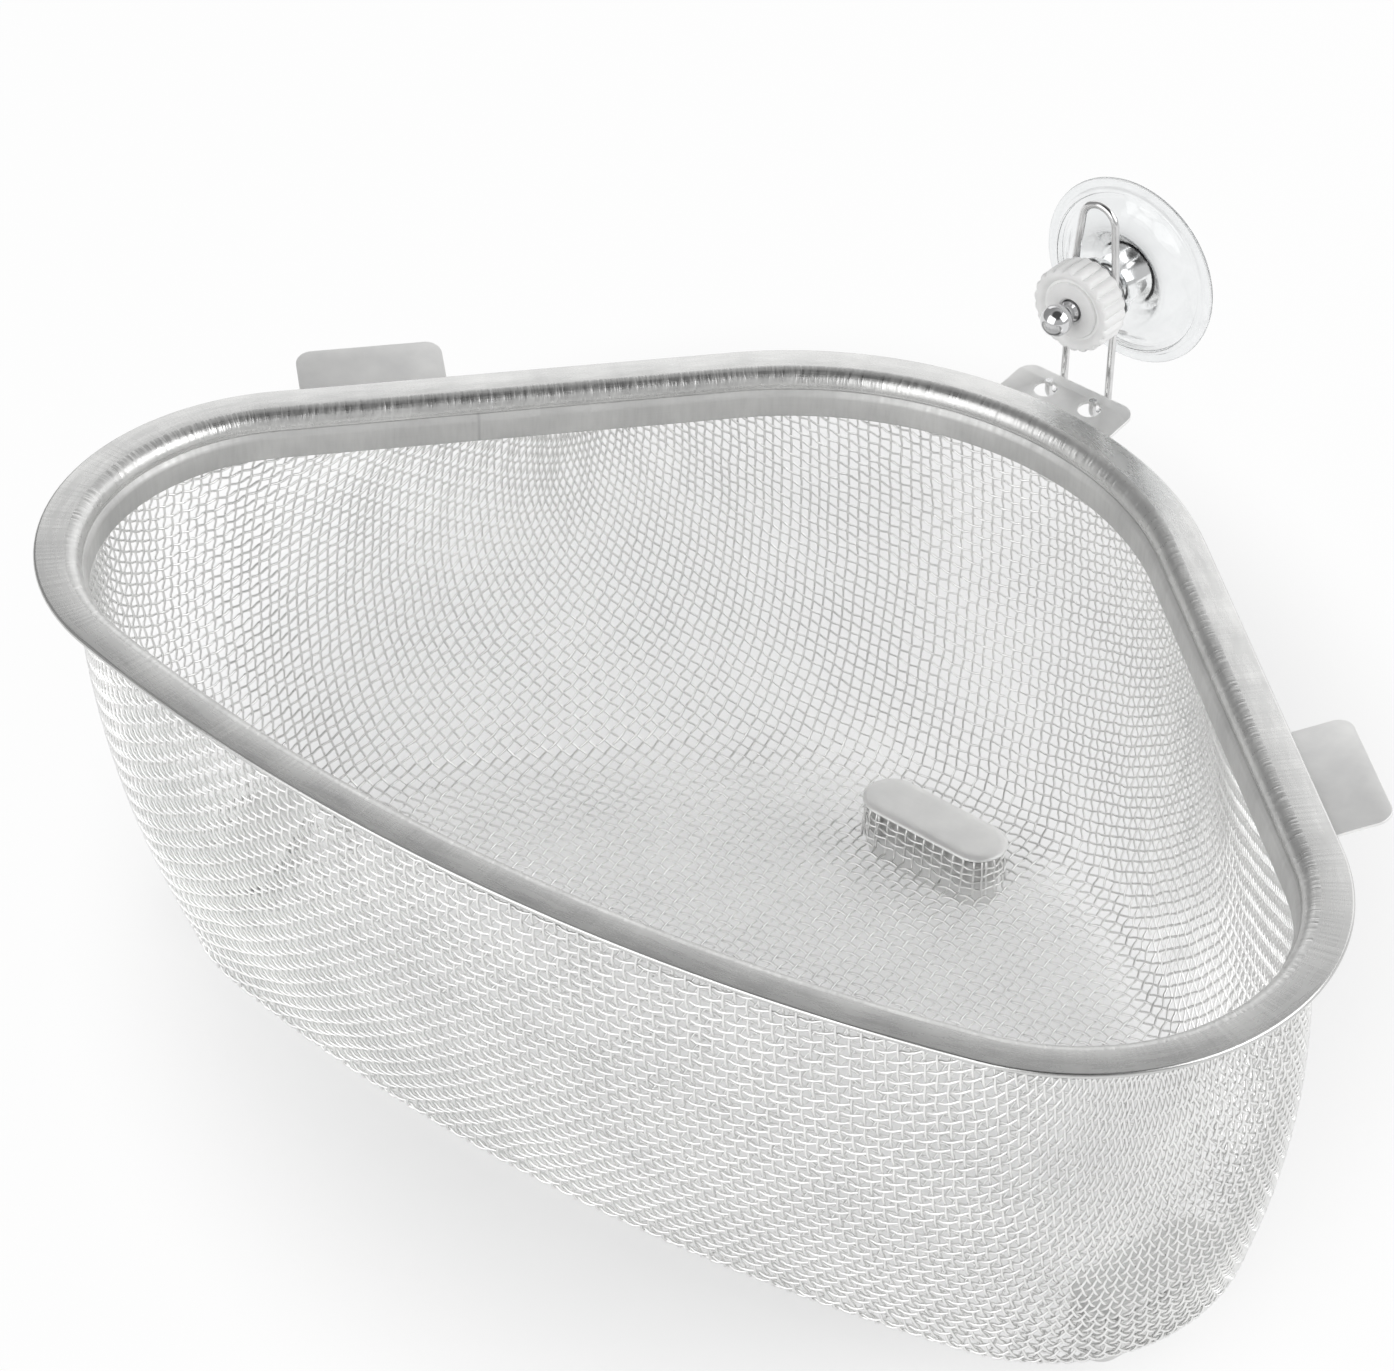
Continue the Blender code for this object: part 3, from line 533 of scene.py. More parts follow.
def band_section(inset, top, bottom):
    """A strip on edge: round top, inner face, round bottom, outer face."""
    edge = BAND_SHEET / 2
    centre = inset + edge
    drops = np.linspace(top + edge, bottom - edge, FACE_POINTS + 2)[1:-1]
    points = quarter(centre, top + edge, edge, 180, 0, LIP_STEPS)
    points += [(centre + edge, drop) for drop in drops]
    points += quarter(centre, bottom - edge, edge, 0, -180, LIP_STEPS)
    return points + [(inset, drop) for drop in drops[::-1]]


def leaned(section):
    """The strip with its top bent over to the skirt and its height slightly barrelled."""
    points = np.array(section)
    down = (points[:, 1] - BAND_TOP) / (BAND_BOTTOM - BAND_TOP)
    bent = np.clip(1 - (points[:, 1] - BAND_TOP) / LEAN_HEIGHT, 0, 1)
    points[:, 0] += BARREL * 4 * down * (1 - down) - LEAN * bent ** 2 * (3 - 2 * bent)
    return points.tolist()


inner_section = leaned(band_section(BAND_INSET, BAND_TOP, BAND_BOTTOM))
strip_section = band_section(MESH_INSET - SEAT_GAP - BAND_SHEET, STRIP_TOP, STRIP_BOTTOM)
dress(carried_round("bright_inner_band", inner_section), band_steel, "basket", "band_steel", "inner_band")
dress(carried_round("clamping_strip", strip_section), strip_steel, "basket", "strip_steel", "binding_strip")

# %% [markdown]
# ## The bag's surface
# The bag is deep drawn: straight at the rim, bellied half way down, drawn in at the heel and
# round into a flat floor. It could be sculpted, but a stack of outlines, blended between
# three levels, keeps its sizes. The wires lie on the middle of the cloth, so the stack is
# worked out for that surface.

# %% The bag's surface
MESH_MIDDLE = MESH_THICKNESS / 2
BOTTOM_ROUND = 8.0 * MM
HANG = drawn_in(RIM, MESH_INSET)
BELLY = Section(2.4 * MM, 12.7 * MM, 8.4 * MM, RIM_SIDE_RADIUS - 4.5 * MM, RIM_APEX_RADIUS + 1.1 * MM)
HEEL = Section(5.2 * MM, 25.6 * MM, 17.2 * MM, RIM_SIDE_RADIUS - 9.5 * MM, RIM_APEX_RADIUS + 1.7 * MM)
HANG_DROP = STRIP_BOTTOM + SEAT_GAP
HEEL_DROP = BASKET_DEPTH - BOTTOM_ROUND
FLOOR_MIDDLE = MESH_MIDDLE - BASKET_DEPTH
WALL_LEVELS = 30
ROUND_LEVELS = 8
SPARE_ABOVE = 90 * MM


def wall_section(t):
    """The curve through the three levels: hang at 0, belly at one half, heel at 1."""
    shares = ((1 - t) * (1 - 2 * t), 4 * t * (1 - t), t * (2 * t - 1))
    return Section(*[sum(s * v for s, v in zip(shares, values)) for values in zip(HANG, BELLY, HEEL)])


def bag_rings():
    """Rings of the middle surface from the edge of the floor up to above the rim."""
    rings = []
    radius = BOTTOM_ROUND - MESH_MIDDLE
    for i in range(ROUND_LEVELS, 0, -1):
        angle = math.pi / 2 * i / ROUND_LEVELS
        section = drawn_in(wall_section(1), MESH_MIDDLE + radius * (1 - math.cos(angle)))
        rings.append(ring(section, -HEEL_DROP - radius * math.sin(angle)))
    for i in range(WALL_LEVELS, -1, -1):
        t = i / WALL_LEVELS
        drop = HANG_DROP + (HEEL_DROP - HANG_DROP) * t
        rings.append(ring(drawn_in(wall_section(t), MESH_MIDDLE), -drop))
    for spare in (SPARE_ABOVE / 2, SPARE_ABOVE):
        rings.append(ring(drawn_in(wall_section(0), MESH_MIDDLE), spare - HANG_DROP))
    return np.array(rings)


rings = bag_rings()
print("bag surface", rings.shape[0], "rings of", rings.shape[1], "points")

# %% [markdown]
# ## Rays onto the bag
# Draping needs a quick way to put any point on the bag, over and over, and casting each ray
# at a mesh would be slow. Seen from a point inside, its heart, every direction meets the
# surface once, so a table of distances by turn and tilt is enough. Between the table's
# entries the distance is read off in straight steps.

# %% Rays onto the bag
HEART = np.array([0.0, 88 * MM, -4 * MM])
RAY_TURNS = 720
RAY_TILTS = 480
LAST_TILT = RAY_TILTS - 1.001
FLOOR_SHARES = np.linspace(0, 1, 25)[:-1]


def ray_table():
    """Tilts from straight down, and the distance to the bag for each turn about Z and tilt."""
    turns = np.arange(RAY_TURNS) * 2 * math.pi / RAY_TURNS - math.pi
    reach, height = [], []
    for points in rings:
        flat = points[:, :2] - HEART[:2]
        angle = np.arctan2(flat[:, 1], flat[:, 0])
        order = np.argsort(angle)
        angle, away = angle[order], np.hypot(flat[:, 0], flat[:, 1])[order]
        angle = np.concatenate([angle - 2 * math.pi, angle, angle + 2 * math.pi])
        reach.append(np.interp(turns, angle, np.tile(away, 3)))
        height.append(points[0, 2])
    reach = np.array([reach[0] * share for share in FLOOR_SHARES] + reach)
    below = HEART[2] - np.array([FLOOR_MIDDLE] * len(FLOOR_SHARES) + height)[:, None]
    tilt = np.arctan2(reach, below)
    distance = np.hypot(reach, below)
    steps = np.linspace(0, tilt[-1].min(), RAY_TILTS)
    return steps, np.array([np.interp(steps, tilt[:, k], distance[:, k]) for k in range(RAY_TURNS)])


tilts, ray_length = ray_table()


def onto_bag(points):
    """Moves points onto the bag along rays from its heart."""
    away = points - HEART
    turn = np.arctan2(away[..., 1], away[..., 0])
    tilt = np.minimum(np.arctan2(np.hypot(away[..., 0], away[..., 1]), -away[..., 2]), tilts[-1])
    across = (turn + math.pi) / (2 * math.pi) * RAY_TURNS
    column = np.floor(across).astype(int)
    f = across - column
    down = np.clip(tilt / tilts[-1] * (RAY_TILTS - 1), 0, LAST_TILT)
    row = np.floor(down).astype(int)
    g = down - row
    left, right = column % RAY_TURNS, (column + 1) % RAY_TURNS
    near = ray_length[left, row] * (1 - f) + ray_length[right, row] * f
    far = ray_length[left, row + 1] * (1 - f) + ray_length[right, row + 1] * f
    length = near * (1 - g) + far * g
    out = np.stack([np.sin(tilt) * np.cos(turn), np.sin(tilt) * np.sin(turn), -np.cos(tilt)], -1)
    return HEART + out * length[..., None]


print("rays", ray_length.shape, "longest", round(ray_length.max() / MM, 1), "mm")

# %% [markdown]
# ## Draping the cloth
# The bag is pressed from flat woven cloth. A cloth simulation could press it, but its springs
# stretch, and woven wires don't: they only turn where they cross, like a fishing net. So two
# wires are laid first, straight across the floor and up the walls, and every other crossing
# is the one place on the bag that lies one pitch from both of its neighbours. Whole diagonals
# are solved at once. The slanted diamonds in the corners come out by themselves.

# %% The two guide wires
PITCH = 2.48 * MM
GUIDE_BACK = 80 * MM
SPARE_CLOTH = 40 * MM
LONGEST_GUIDE = 120
STEP_ROUNDS = 6


def guide_wire(ahead):
    """Crossings along a straight wire from the guides' crossing, until it is well above the rim."""
    points = [np.array([0, GUIDE_BACK, FLOOR_MIDDLE])]
    ahead = np.array(ahead, float)
    while points[-1][2] < SPARE_CLOTH and len(points) < LONGEST_GUIDE:
        here = points[-1]
        there = here + ahead * PITCH
        for _ in range(STEP_ROUNDS):
            step = onto_bag(there) - here
            there = here + step * (PITCH / np.linalg.norm(step))
        there = onto_bag(there)
        ahead = (there - here) / np.linalg.norm(there - here)
        points.append(there)
    return np.array(points)


guide_right = guide_wire((1, 0, 0))
guide_back = guide_wire((0, 1, 0))
guide_front = guide_wire((0, -1, 0))
print("guide crossings", len(guide_right), len(guide_back), len(guide_front))

# %% The other crossings
CROSSING_ROUNDS = 30


def at_pitch(point, centre):
    away = point - centre
    return centre + away * (PITCH / np.linalg.norm(away, axis=-1, keepdims=True))


def fill_between(along_x, along_y):
    """All crossings between two guide wires; a crossing that would lie far above the rim is left nan."""
    columns, rows = len(along_x), len(along_y)
    crossings = np.full((columns, rows, 3), np.nan)
    crossings[:, 0], crossings[0] = along_x, along_y
    for diagonal in range(2, columns + rows - 1):
        i = np.arange(max(1, diagonal - rows + 1), min(columns - 1, diagonal - 1) + 1)
        j = diagonal - i
        one, two, corner = crossings[i, j - 1], crossings[i - 1, j], crossings[i - 1, j - 1]
        known = np.maximum(one[:, 2], two[:, 2]) < SPARE_CLOTH
        i, j, one, two, corner = i[known], j[known], one[known], two[known], corner[known]
        point = one + two - corner
        for _ in range(CROSSING_ROUNDS):
            point = at_pitch(at_pitch(onto_bag(point), one), two)
        crossings[i, j] = onto_bag(point)
    return crossings


right_back = fill_between(guide_right, guide_back)
right_front = fill_between(guide_right, guide_front)
right_half = np.concatenate([right_front[:, :0:-1], right_back], 1)
net = np.concatenate([right_half[:0:-1] * [-1, 1, 1], right_half])
held = ~np.isnan(net[..., 0])
print("crossings", int(held.sum()))

# %% [markdown]
# ## Easing the cloth
# A net can fold flat; woven wires touch and lock long before that. Moving every crossing
# half way to the middle of its neighbours, over and over, spreads the sharpest slants over
# the cells round them and leaves the rest as it was. A little seeded unevenness, itself
# averaged a few times, keeps the weave from looking printed.

# %% Easing the cloth
EASING_ROUNDS = 200
UNEVEN_ROUNDS = 4
UNEVENNESS = 0.16 * PITCH
chance = np.random.default_rng(11)


def eased(points, known, rounds):
    """The crossings after repeated averaging with the neighbours that exist."""
    points = np.where(known[..., None], points, 0)
    share = known[..., None].astype(float)
    for _ in range(rounds):
        total = np.zeros_like(points)
        count = np.zeros_like(share)
        for there, here in ((np.s_[:-1], np.s_[1:]), (np.s_[1:], np.s_[:-1]),
                            (np.s_[:, :-1], np.s_[:, 1:]), (np.s_[:, 1:], np.s_[:, :-1])):
            total[here] += points[there] * share[there]
            count[here] += share[there]
        middle = total / np.maximum(count, 1)
        points = np.where((share > 0) & (count > 1), (points + middle) / 2, points)
    return points


net = eased(net, held, EASING_ROUNDS)
net += eased(chance.normal(0, UNEVENNESS, net.shape), held, UNEVEN_ROUNDS)
net = onto_bag(net)
net[~held] = HEART
below_rim = held & (net[..., 2] < 0)
gaps = np.linalg.norm(np.diff(net, axis=0), axis=-1)[below_rim[1:] & below_rim[:-1]]
print("gaps below the rim", np.round(np.percentile(gaps / MM, [1, 50, 99]), 2), "mm")

# %% [markdown]
# ## From crossings to wires
# Every wire goes over one neighbour and under the next. Each crossing gives its wire two
# points, a quarter pitch before and after, both lifted to the same side of the cloth, and the
# next crossing's points lie on the other side. That is the fewest points that still read as a
# woven wire once the tube is shaded smooth; a rounder wave would take twice as many. At a foot the
# floor has an island pressed up in it, so a wire that meets one turns up and climbs its side.

# %% Feet and their islands
FOOT_LENGTH = 33.2 * MM
FOOT_WIDTH = 10.4 * MM
ISLAND_HEIGHT = 9.4 * MM
ISLAND_DRAFT = 0.8 * MM
FOOT_TURNS = {"apex": math.radians(-5), "right": math.radians(72), "left": math.radians(108)}
Foot = namedtuple("Foot", "name x y turn")


def foot_places():
    feet = []
    for name, turn in FOOT_TURNS.items():
        low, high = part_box("foot_cup_" + name)
        feet.append(Foot(name, (low.x + high.x) / 2, (low.y + high.y) / 2 - OFFSET[1], turn))
    return feet


feet = foot_places()
ISLAND_RISE = ISLAND_HEIGHT - MESH_THICKNESS
ISLAND_FOOT_RADIUS = FOOT_WIDTH / 2 + MESH_MIDDLE + ISLAND_DRAFT
CORE = (FOOT_LENGTH - FOOT_WIDTH) / 2
TINY = 1e-12


def from_foot(points, foot):
    """Distance of flat points from a foot's middle line, and the way straight out from it."""
    line = np.array([math.cos(foot.turn), math.sin(foot.turn)])
    away = points - [foot.x, foot.y]
    along = np.clip(away @ line, -CORE, CORE)
    out = away - along[..., None] * line
    distance = np.linalg.norm(out, axis=-1)
    return distance, out / (distance[..., None] + TINY)


print("feet", [(f.name, round(f.x / MM, 1), round(f.y / MM, 1)) for f in feet])

# %% Wire paths
WIRE_RADIUS = 0.27 * MM
CRIMP = 0.8 * WIRE_RADIUS
CUT_DROP = 3.0 * MM
FLOOR_BAND = 1.0 * MM
BEND_AWAY = 0.25
CLIMB_STEPS = 5
FOLD_OVER = 2.4 * MM
FEWEST_CROSSINGS = 4
FEWEST_POINTS = 3


def cloth_normals():
    normal = np.cross(np.gradient(net, axis=0), np.gradient(net, axis=1))
    normal /= np.linalg.norm(normal, axis=-1, keepdims=True) + TINY
    return normal * np.sign((normal * (net - HEART)).sum(-1, keepdims=True))


normals = cloth_normals()


def spaced(points, where):
    """Points at whole and part steps along a row of crossings, on a smooth curve through them."""
    k = np.clip(np.floor(where).astype(int), 1, len(points) - 3)
    t = (where - k)[:, None]
    a, b, c, d = points[k - 1], points[k], points[k + 1], points[k + 2]
    return b + 0.5 * t * (c - a + t * (2 * a - 5 * b + 4 * c - d + t * (3 * (b - c) + d - a)))


def climb_island(point, foot, side):
    """Points up an island's side from where a wire meets it, weaving past the rings round it."""
    distance, out = from_foot(point[:2], foot)
    foot_point = point[:2] - out * (distance - ISLAND_FOOT_RADIUS)
    path = []
    for step in range(CLIMB_STEPS + 1):
        share = step / CLIMB_STEPS
        sway = side * CRIMP * (0 if step in (0, CLIMB_STEPS) else (-1) ** step)
        inward = ISLAND_DRAFT * share - sway
        path.append([*(foot_point - out * inward), FLOOR_MIDDLE + ISLAND_RISE * share])
    top = path[-1]
    path.append([top[0] - out[0] * FOLD_OVER, top[1] - out[1] * FOLD_OVER, top[2]])
    return path


def wire_runs(row, normal, usable, first_side):
    """The unbroken runs of one wire, each a list of points; an island or the cut edge ends a run."""
    crossings = np.where(usable)[0]
    if len(crossings) < FEWEST_CROSSINGS:
        return []
    where = np.sort(np.concatenate([crossings - BEND_AWAY, crossings + BEND_AWAY]))
    node = np.rint(where).astype(int)
    points = spaced(row, where)
    side = first_side * (1 - 2 * (node % 2))
    lifted = points + normal[node] * (side * CRIMP)[:, None]
    inside = [from_foot(points[:, :2], foot)[0] < ISLAND_FOOT_RADIUS for foot in feet]
    on_floor = points[:, 2] < FLOOR_MIDDLE + FLOOR_BAND
    runs, run = [], []
    for k in range(len(where)):
        island = next((foot for foot, hit in zip(feet, inside) if hit[k] and on_floor[k]), None)
        if island:
            if run:
                runs.append(run + climb_island(points[k], island, side[k]))
            run = []
            last_island = (points[k], island, side[k])
        elif points[k, 2] > -CUT_DROP:
            runs.append(run)
            run = []
        else:
            if not run and k and any(hit[k - 1] for hit in inside) and on_floor[k - 1]:
                run = climb_island(*last_island)[::-1]
            run.append(list(lifted[k]))
    runs.append(run)
    return [run for run in runs if len(run) >= FEWEST_POINTS]


def all_wires():
    weft = [wire_runs(net[:, j], normals[:, j], held[:, j], 1 - 2 * (j % 2)) for j in range(net.shape[1])]
    warp = [wire_runs(net[i], normals[i], held[i], 2 * (i % 2) - 1) for i in range(net.shape[0])]
    return weft, warp


weft, warp = all_wires()
print("weft wires", sum(map(bool, weft)), "warp wires", sum(map(bool, warp)))

# %% [markdown]
# ## Wires in Geometry Nodes
# A wire is a round section carried along a path, thousands of times over. Curve objects with
# a bevel could do that too, but one tree with named sizes serves the mesh and the hook alike.
# The paths go in as bare edges; the tree turns them into curves, sweeps a small circle along
# them, caps the ends and sets the material. The result is kept as a plain mesh.

# %% The drawn wire tree
WIRE_SIDES = 6


def drawn_wire_tree():
    tree = bpy.data.node_groups.new("drawn_wire", "GeometryNodeTree")
    named = (("Radius", "NodeSocketFloat", WIRE_RADIUS), ("Sides", "NodeSocketInt", WIRE_SIDES),
             ("Material", "NodeSocketMaterial", None))
    group_socket(tree, "Paths", "INPUT", "NodeSocketGeometry")
    sockets = {name: group_socket(tree, name, "INPUT", kind, value).identifier for name, kind, value in named}
    group_socket(tree, "Wires", "OUTPUT", "NodeSocketGeometry")
    given = add_node(tree, "NodeGroupInput").outputs
    curves = add_node(tree, "GeometryNodeMeshToCurve", {"Mesh": given["Paths"]})
    circle = add_node(tree, "GeometryNodeCurvePrimitiveCircle", {
        "Resolution": given["Sides"], "Radius": given["Radius"]})
    sweep = add_node(tree, "GeometryNodeCurveToMesh", {
        "Curve": curves.outputs["Curve"], "Profile Curve": circle.outputs["Curve"], "Fill Caps": True})
    smooth = add_node(tree, "GeometryNodeSetShadeSmooth", {"Geometry": sweep.outputs["Mesh"]})
    real = add_node(tree, "GeometryNodeRealizeInstances", {"Geometry": smooth.outputs["Geometry"]})
    paint = add_node(tree, "GeometryNodeSetMaterial", {
        "Geometry": real.outputs["Geometry"], "Material": given["Material"]})
    add_node(tree, "NodeGroupOutput", {"Wires": paint.outputs["Geometry"]})
    return tree, sockets


wire_tree, wire_sockets = drawn_wire_tree()
print("tree", wire_tree.name, "with", len(wire_tree.nodes), "nodes")

# %% Drawing wires
def drawn_wires(name, paths, radius, sides, material, closed=False, shares=None):
    """Tubes along every path in one plain mesh; shares scales the radius at each point."""
    points, edges = [], []
    for path in paths:
        first = len(points)
        points += [tuple(p) for p in path]
        edges += [(k, k + 1) for k in range(first, len(points) - 1)]
        if closed:
            edges.append((len(points) - 1, first))
    mesh = bpy.data.meshes.new(name + "_paths")
    mesh.from_pydata(points, edges, [])
    if shares:
        layer = mesh.attributes.new("radius", "FLOAT", "POINT")
        layer.data.foreach_set("value", [share for row in shares for share in row])
    guide = bpy.data.objects.new(name + "_paths", mesh)
    scene.collection.objects.link(guide)
    modifier = guide.modifiers.new("drawn_wire", "NODES")
    modifier.node_group = wire_tree
    for socket, value in (("Radius", radius), ("Sides", sides), ("Material", material)):
        modifier[wire_sockets[socket]] = value
    bpy.context.view_layer.update()
    evaluated = guide.evaluated_get(bpy.context.evaluated_depsgraph_get())
    result = bpy.data.meshes.new_from_object(evaluated)
    bpy.data.objects.remove(guide)
    bpy.data.meshes.remove(mesh)
    result.name = name
    obj = bpy.data.objects.new(name, result)
    scene.collection.objects.link(obj)
    return obj

# %% [markdown]
# All the wires could be one object, but a piece of that size is slow to handle, and its
# exported shape would be thinned. So each direction of the cloth is shared out among three
# pieces with about as many points in each. All six ride on the basket, and one of them stands
# for the solid bag.

# %% Weave the bag
WEFT_GROUPS = ("weft_front", "weft_middle", "weft_back")
WARP_GROUPS = ("warp_left", "warp_middle", "warp_right")


def in_three(names, wires):
    """Shares the wires out in order, so that each group has about a third of the points."""
    runs = [run for wire in wires for run in wire]
    sizes = np.cumsum([len(run) for run in runs])
    share = np.minimum((sizes - 1) * len(names) // sizes[-1], len(names) - 1)
    for k, name in enumerate(names):
        yield name, [np.array(run) + OFFSET for run, part in zip(runs, share) if part == k]


for names, wires in ((WEFT_GROUPS, weft), (WARP_GROUPS, warp)):
    for name, paths in in_three(names, wires):
        piece = drawn_wires(name, paths, WIRE_RADIUS, WIRE_SIDES, mesh_steel)
        nodes = ("mesh_basket",) if name == "weft_front" else ()
        dress(piece, mesh_steel, "basket", "mesh_steel", *nodes)

# %% [markdown]
# Up an island's side the cloth is drawn tight. Its crossings could be worked out one by one,
# but rings of wire, passing over and under the wires that climb the side, look the same.

# %% Rings round the islands
RING_POINTS = 14


def racetrack(half, radius, turn=0.0, x=0.0, y=0.0, steps=RING_POINTS):
    """Closed points of an oval with straight sides, turned and moved."""
    points = np.concatenate([arc(half, 0, radius, -math.pi / 2, math.pi / 2, steps),
                             arc(-half, 0, radius, math.pi / 2, 3 * math.pi / 2, steps)])
    cos, sin = math.cos(turn), math.sin(turn)
    return points @ np.array([[cos, sin], [-sin, cos]]) + [x, y]


def woven_ring(foot, radius, z, side):
    """A wire round an island, over and under the wires that climb it."""
    oval = racetrack(CORE, radius, foot.turn, foot.x, foot.y)
    closed = np.vstack([oval, oval[:1]])
    run = np.concatenate([[0], np.cumsum(np.linalg.norm(np.diff(closed, axis=0), axis=1))])
    crossings = 2 * round(run[-1] / PITCH / 2)
    where = (np.arange(2 * crossings) + 0.5) / 2
    place = where * run[-1] / crossings
    points = np.column_stack([np.interp(place, run, closed[:, axis]) for axis in (0, 1)])
    sway = side * CRIMP * (1 - 2 * (np.rint(where) % 2))
    points += from_foot(points, foot)[1] * sway[:, None]
    return np.column_stack([points, np.full(len(points), z)]) + OFFSET


def island_rings():
    paths = []
    for foot in feet:
        for k, share in enumerate(np.arange(1, CLIMB_STEPS) / CLIMB_STEPS):
            radius = ISLAND_FOOT_RADIUS - ISLAND_DRAFT * share
            paths.append(woven_ring(foot, radius, FLOOR_MIDDLE + ISLAND_RISE * share, (-1) ** k))
    return paths


islands = drawn_wires("island_rings", island_rings(), WIRE_RADIUS, WIRE_SIDES, mesh_steel, closed=True)
dress(islands, mesh_steel, "basket", "mesh_steel")

# %% [markdown]
# ## Feet
# At each corner of the floor an oval cup is pushed up into the island from below and an oval
# cap sits over it inside, with the mesh between them. A bevelled box would give one radius
# all round; ovals lofted at several heights give the cup a rolled edge and the cap a pillow.

# %% Feet
FOOT_WALL = 0.8 * MM
FOOT_EDGE = 2.0 * MM
CAP_THICKNESS = 1.2 * MM
CAP_OVERHANG = 0.6 * MM
CAP_SHOULDER = 2.6 * MM
OVAL_STEPS = 24
EDGE_TURNS = np.linspace(0, math.pi / 2, 9)


def oval_rows(foot, radii_and_heights):
    rows = []
    for radius, z in radii_and_heights:
        points = racetrack(CORE, radius, foot.turn, foot.x, foot.y, OVAL_STEPS)
        rows.append(np.column_stack([points, np.full(len(points), z)]) + OFFSET)
    return rows


def foot_cup_rows(foot):
    radius = FOOT_WIDTH / 2 - SEAT_GAP
    bottom = -BASKET_DEPTH - FOOT_DROP
    top = -BASKET_DEPTH + ISLAND_HEIGHT - MESH_THICKNESS - SEAT_GAP
    inside = radius - FOOT_WALL
    levels = [(radius - FOOT_EDGE * (1 - math.sin(a)), bottom + FOOT_EDGE * (1 - math.cos(a)))
              for a in EDGE_TURNS]
    levels += [(radius, top), (inside, top), (inside, bottom + FOOT_EDGE)]
    return oval_rows(foot, levels + [(inside - FOOT_EDGE, bottom + FOOT_WALL)])


def foot_cap_rows(foot):
    radius = FOOT_WIDTH / 2 + MESH_THICKNESS + CAP_OVERHANG
    bottom = -BASKET_DEPTH + ISLAND_HEIGHT + SEAT_GAP
    lip = CAP_THICKNESS / 4
    levels = [(radius - CAP_SHOULDER * (1 - math.cos(a)), bottom + lip + (CAP_THICKNESS - lip) * math.sin(a))
              for a in EDGE_TURNS]
    return oval_rows(foot, [(radius - lip, bottom)] + levels)


for foot in feet:
    cup = lofted("pressed_foot_" + foot.name, foot_cup_rows(foot))
    dress(cup, foot_steel, "basket", "foot_steel", "foot_cup_" + foot.name)
    cap = lofted("oval_cap_" + foot.name, foot_cap_rows(foot))
    dress(cap, cap_steel, "basket", "cap_steel", "foot_cap_" + foot.name)

# %% [markdown]
# ## Tabs
# The tabs are punched blanks with round corners, tucked under the flange and bent up a
# little. Holes could be cut from a slab with a boolean. A flat curve with holes, extruded and
# with a small bevel, gives the slightly broken edges of a punched blank at once. It is made a
# mesh before its place is applied.

# %% Tabs
TAB_SHEET = 0.7 * MM
TAB_UNDERLAP = 5.4 * MM
TAB_CORNER = 3.5 * MM
TAB_CORNER_STEPS = 12
TAB_EDGE = 0.12 * MM
TAB_EDGE_STEPS = 2
MERGE_REACH = 0.001 * MM


def blank_outline(width, tab_reach):
    """Points of a tab: x along the rim, y outward from its edge."""
    half = width / 2
    corner_y = tab_reach - TAB_CORNER
    right = arc(half - TAB_CORNER, corner_y, TAB_CORNER, 0, math.pi / 2, TAB_CORNER_STEPS)
    left = arc(TAB_CORNER - half, corner_y, TAB_CORNER, math.pi / 2, math.pi, TAB_CORNER_STEPS)
    return np.concatenate([[(-half, -TAB_UNDERLAP), (half, -TAB_UNDERLAP)], right, left])


def punched_blank(name, loops, lift, place):
    """A blank from its outline and its holes, its outer edge lifted, put in place by a matrix."""
    curve = bpy.data.curves.new(name, "CURVE")
    curve.dimensions = "2D"
    curve.fill_mode = "BOTH"
    curve.extrude = TAB_SHEET / 2 - TAB_EDGE
    curve.bevel_depth = TAB_EDGE
    curve.bevel_resolution = TAB_EDGE_STEPS
    curve.offset = -TAB_EDGE
    for loop in loops:
        spline = curve.splines.new("POLY")
        spline.points.add(len(loop) - 1)
        for point, (x, y) in zip(spline.points, loop):
            point.co = (x, y, 0, 1)
        spline.use_cyclic_u = True
    guide = bpy.data.objects.new(name + "_blank", curve)
    scene.collection.objects.link(guide)
    bpy.context.view_layer.update()
    mesh = bpy.data.meshes.new_from_object(guide.evaluated_get(bpy.context.evaluated_depsgraph_get()))
    bpy.data.objects.remove(guide)
    bm = bmesh.new()
    bm.from_mesh(mesh)
    bmesh.ops.remove_doubles(bm, verts=bm.verts, dist=MERGE_REACH)
    bmesh.ops.recalc_face_normals(bm, faces=bm.faces)
    bm.to_mesh(mesh)
    bm.free()
    mesh.transform(Matrix.Rotation(lift, 4, "X"))
    mesh.transform(place)
    mesh.name = name
    return finished(name, mesh)


def tab_place(x, y, turn):
    middle = -HEM_THICKNESS - SEAT_GAP - TAB_SHEET / 2
    return Matrix.Translation(Vector(OFFSET) + Vector((x, y, middle))) @ Matrix.Rotation(turn, 4, "Z")

# %% The side tabs
SIDE_TAB_WIDTH = 30.5 * MM
SIDE_TAB_REACH = 12.0 * MM
SIDE_TAB_LIFT = math.radians(13)
SIDE_TAB_FROM_CORNER = 20.5 * MM
corner_along = RIM_SIDE_RADIUS / ROOT_TWO
corner_back = SIDE_TAB_FROM_CORNER / ROOT_TWO
side_tab_x = RIM_CORNER_OUT + corner_along - corner_back
side_tab_y = RIM_CORNER_BACK + corner_along + corner_back
side_outline = blank_outline(SIDE_TAB_WIDTH, SIDE_TAB_REACH)
for side, sign in (("right", 1), ("left", -1)):
    place = tab_place(sign * side_tab_x, side_tab_y, -sign * math.pi / 4)
    blank = punched_blank(side + "_blank", [side_outline], SIDE_TAB_LIFT, place)
    dress(blank, tab_steel, "basket", "tab_steel", side + "_tab")

# %% [markdown]
# The third tab carries the hook, and it sits a little off the middle of the apex. Its two
# holes take the ends of the wire. They could be drilled later, but here each hole is only one
# more loop in the blank's outline.

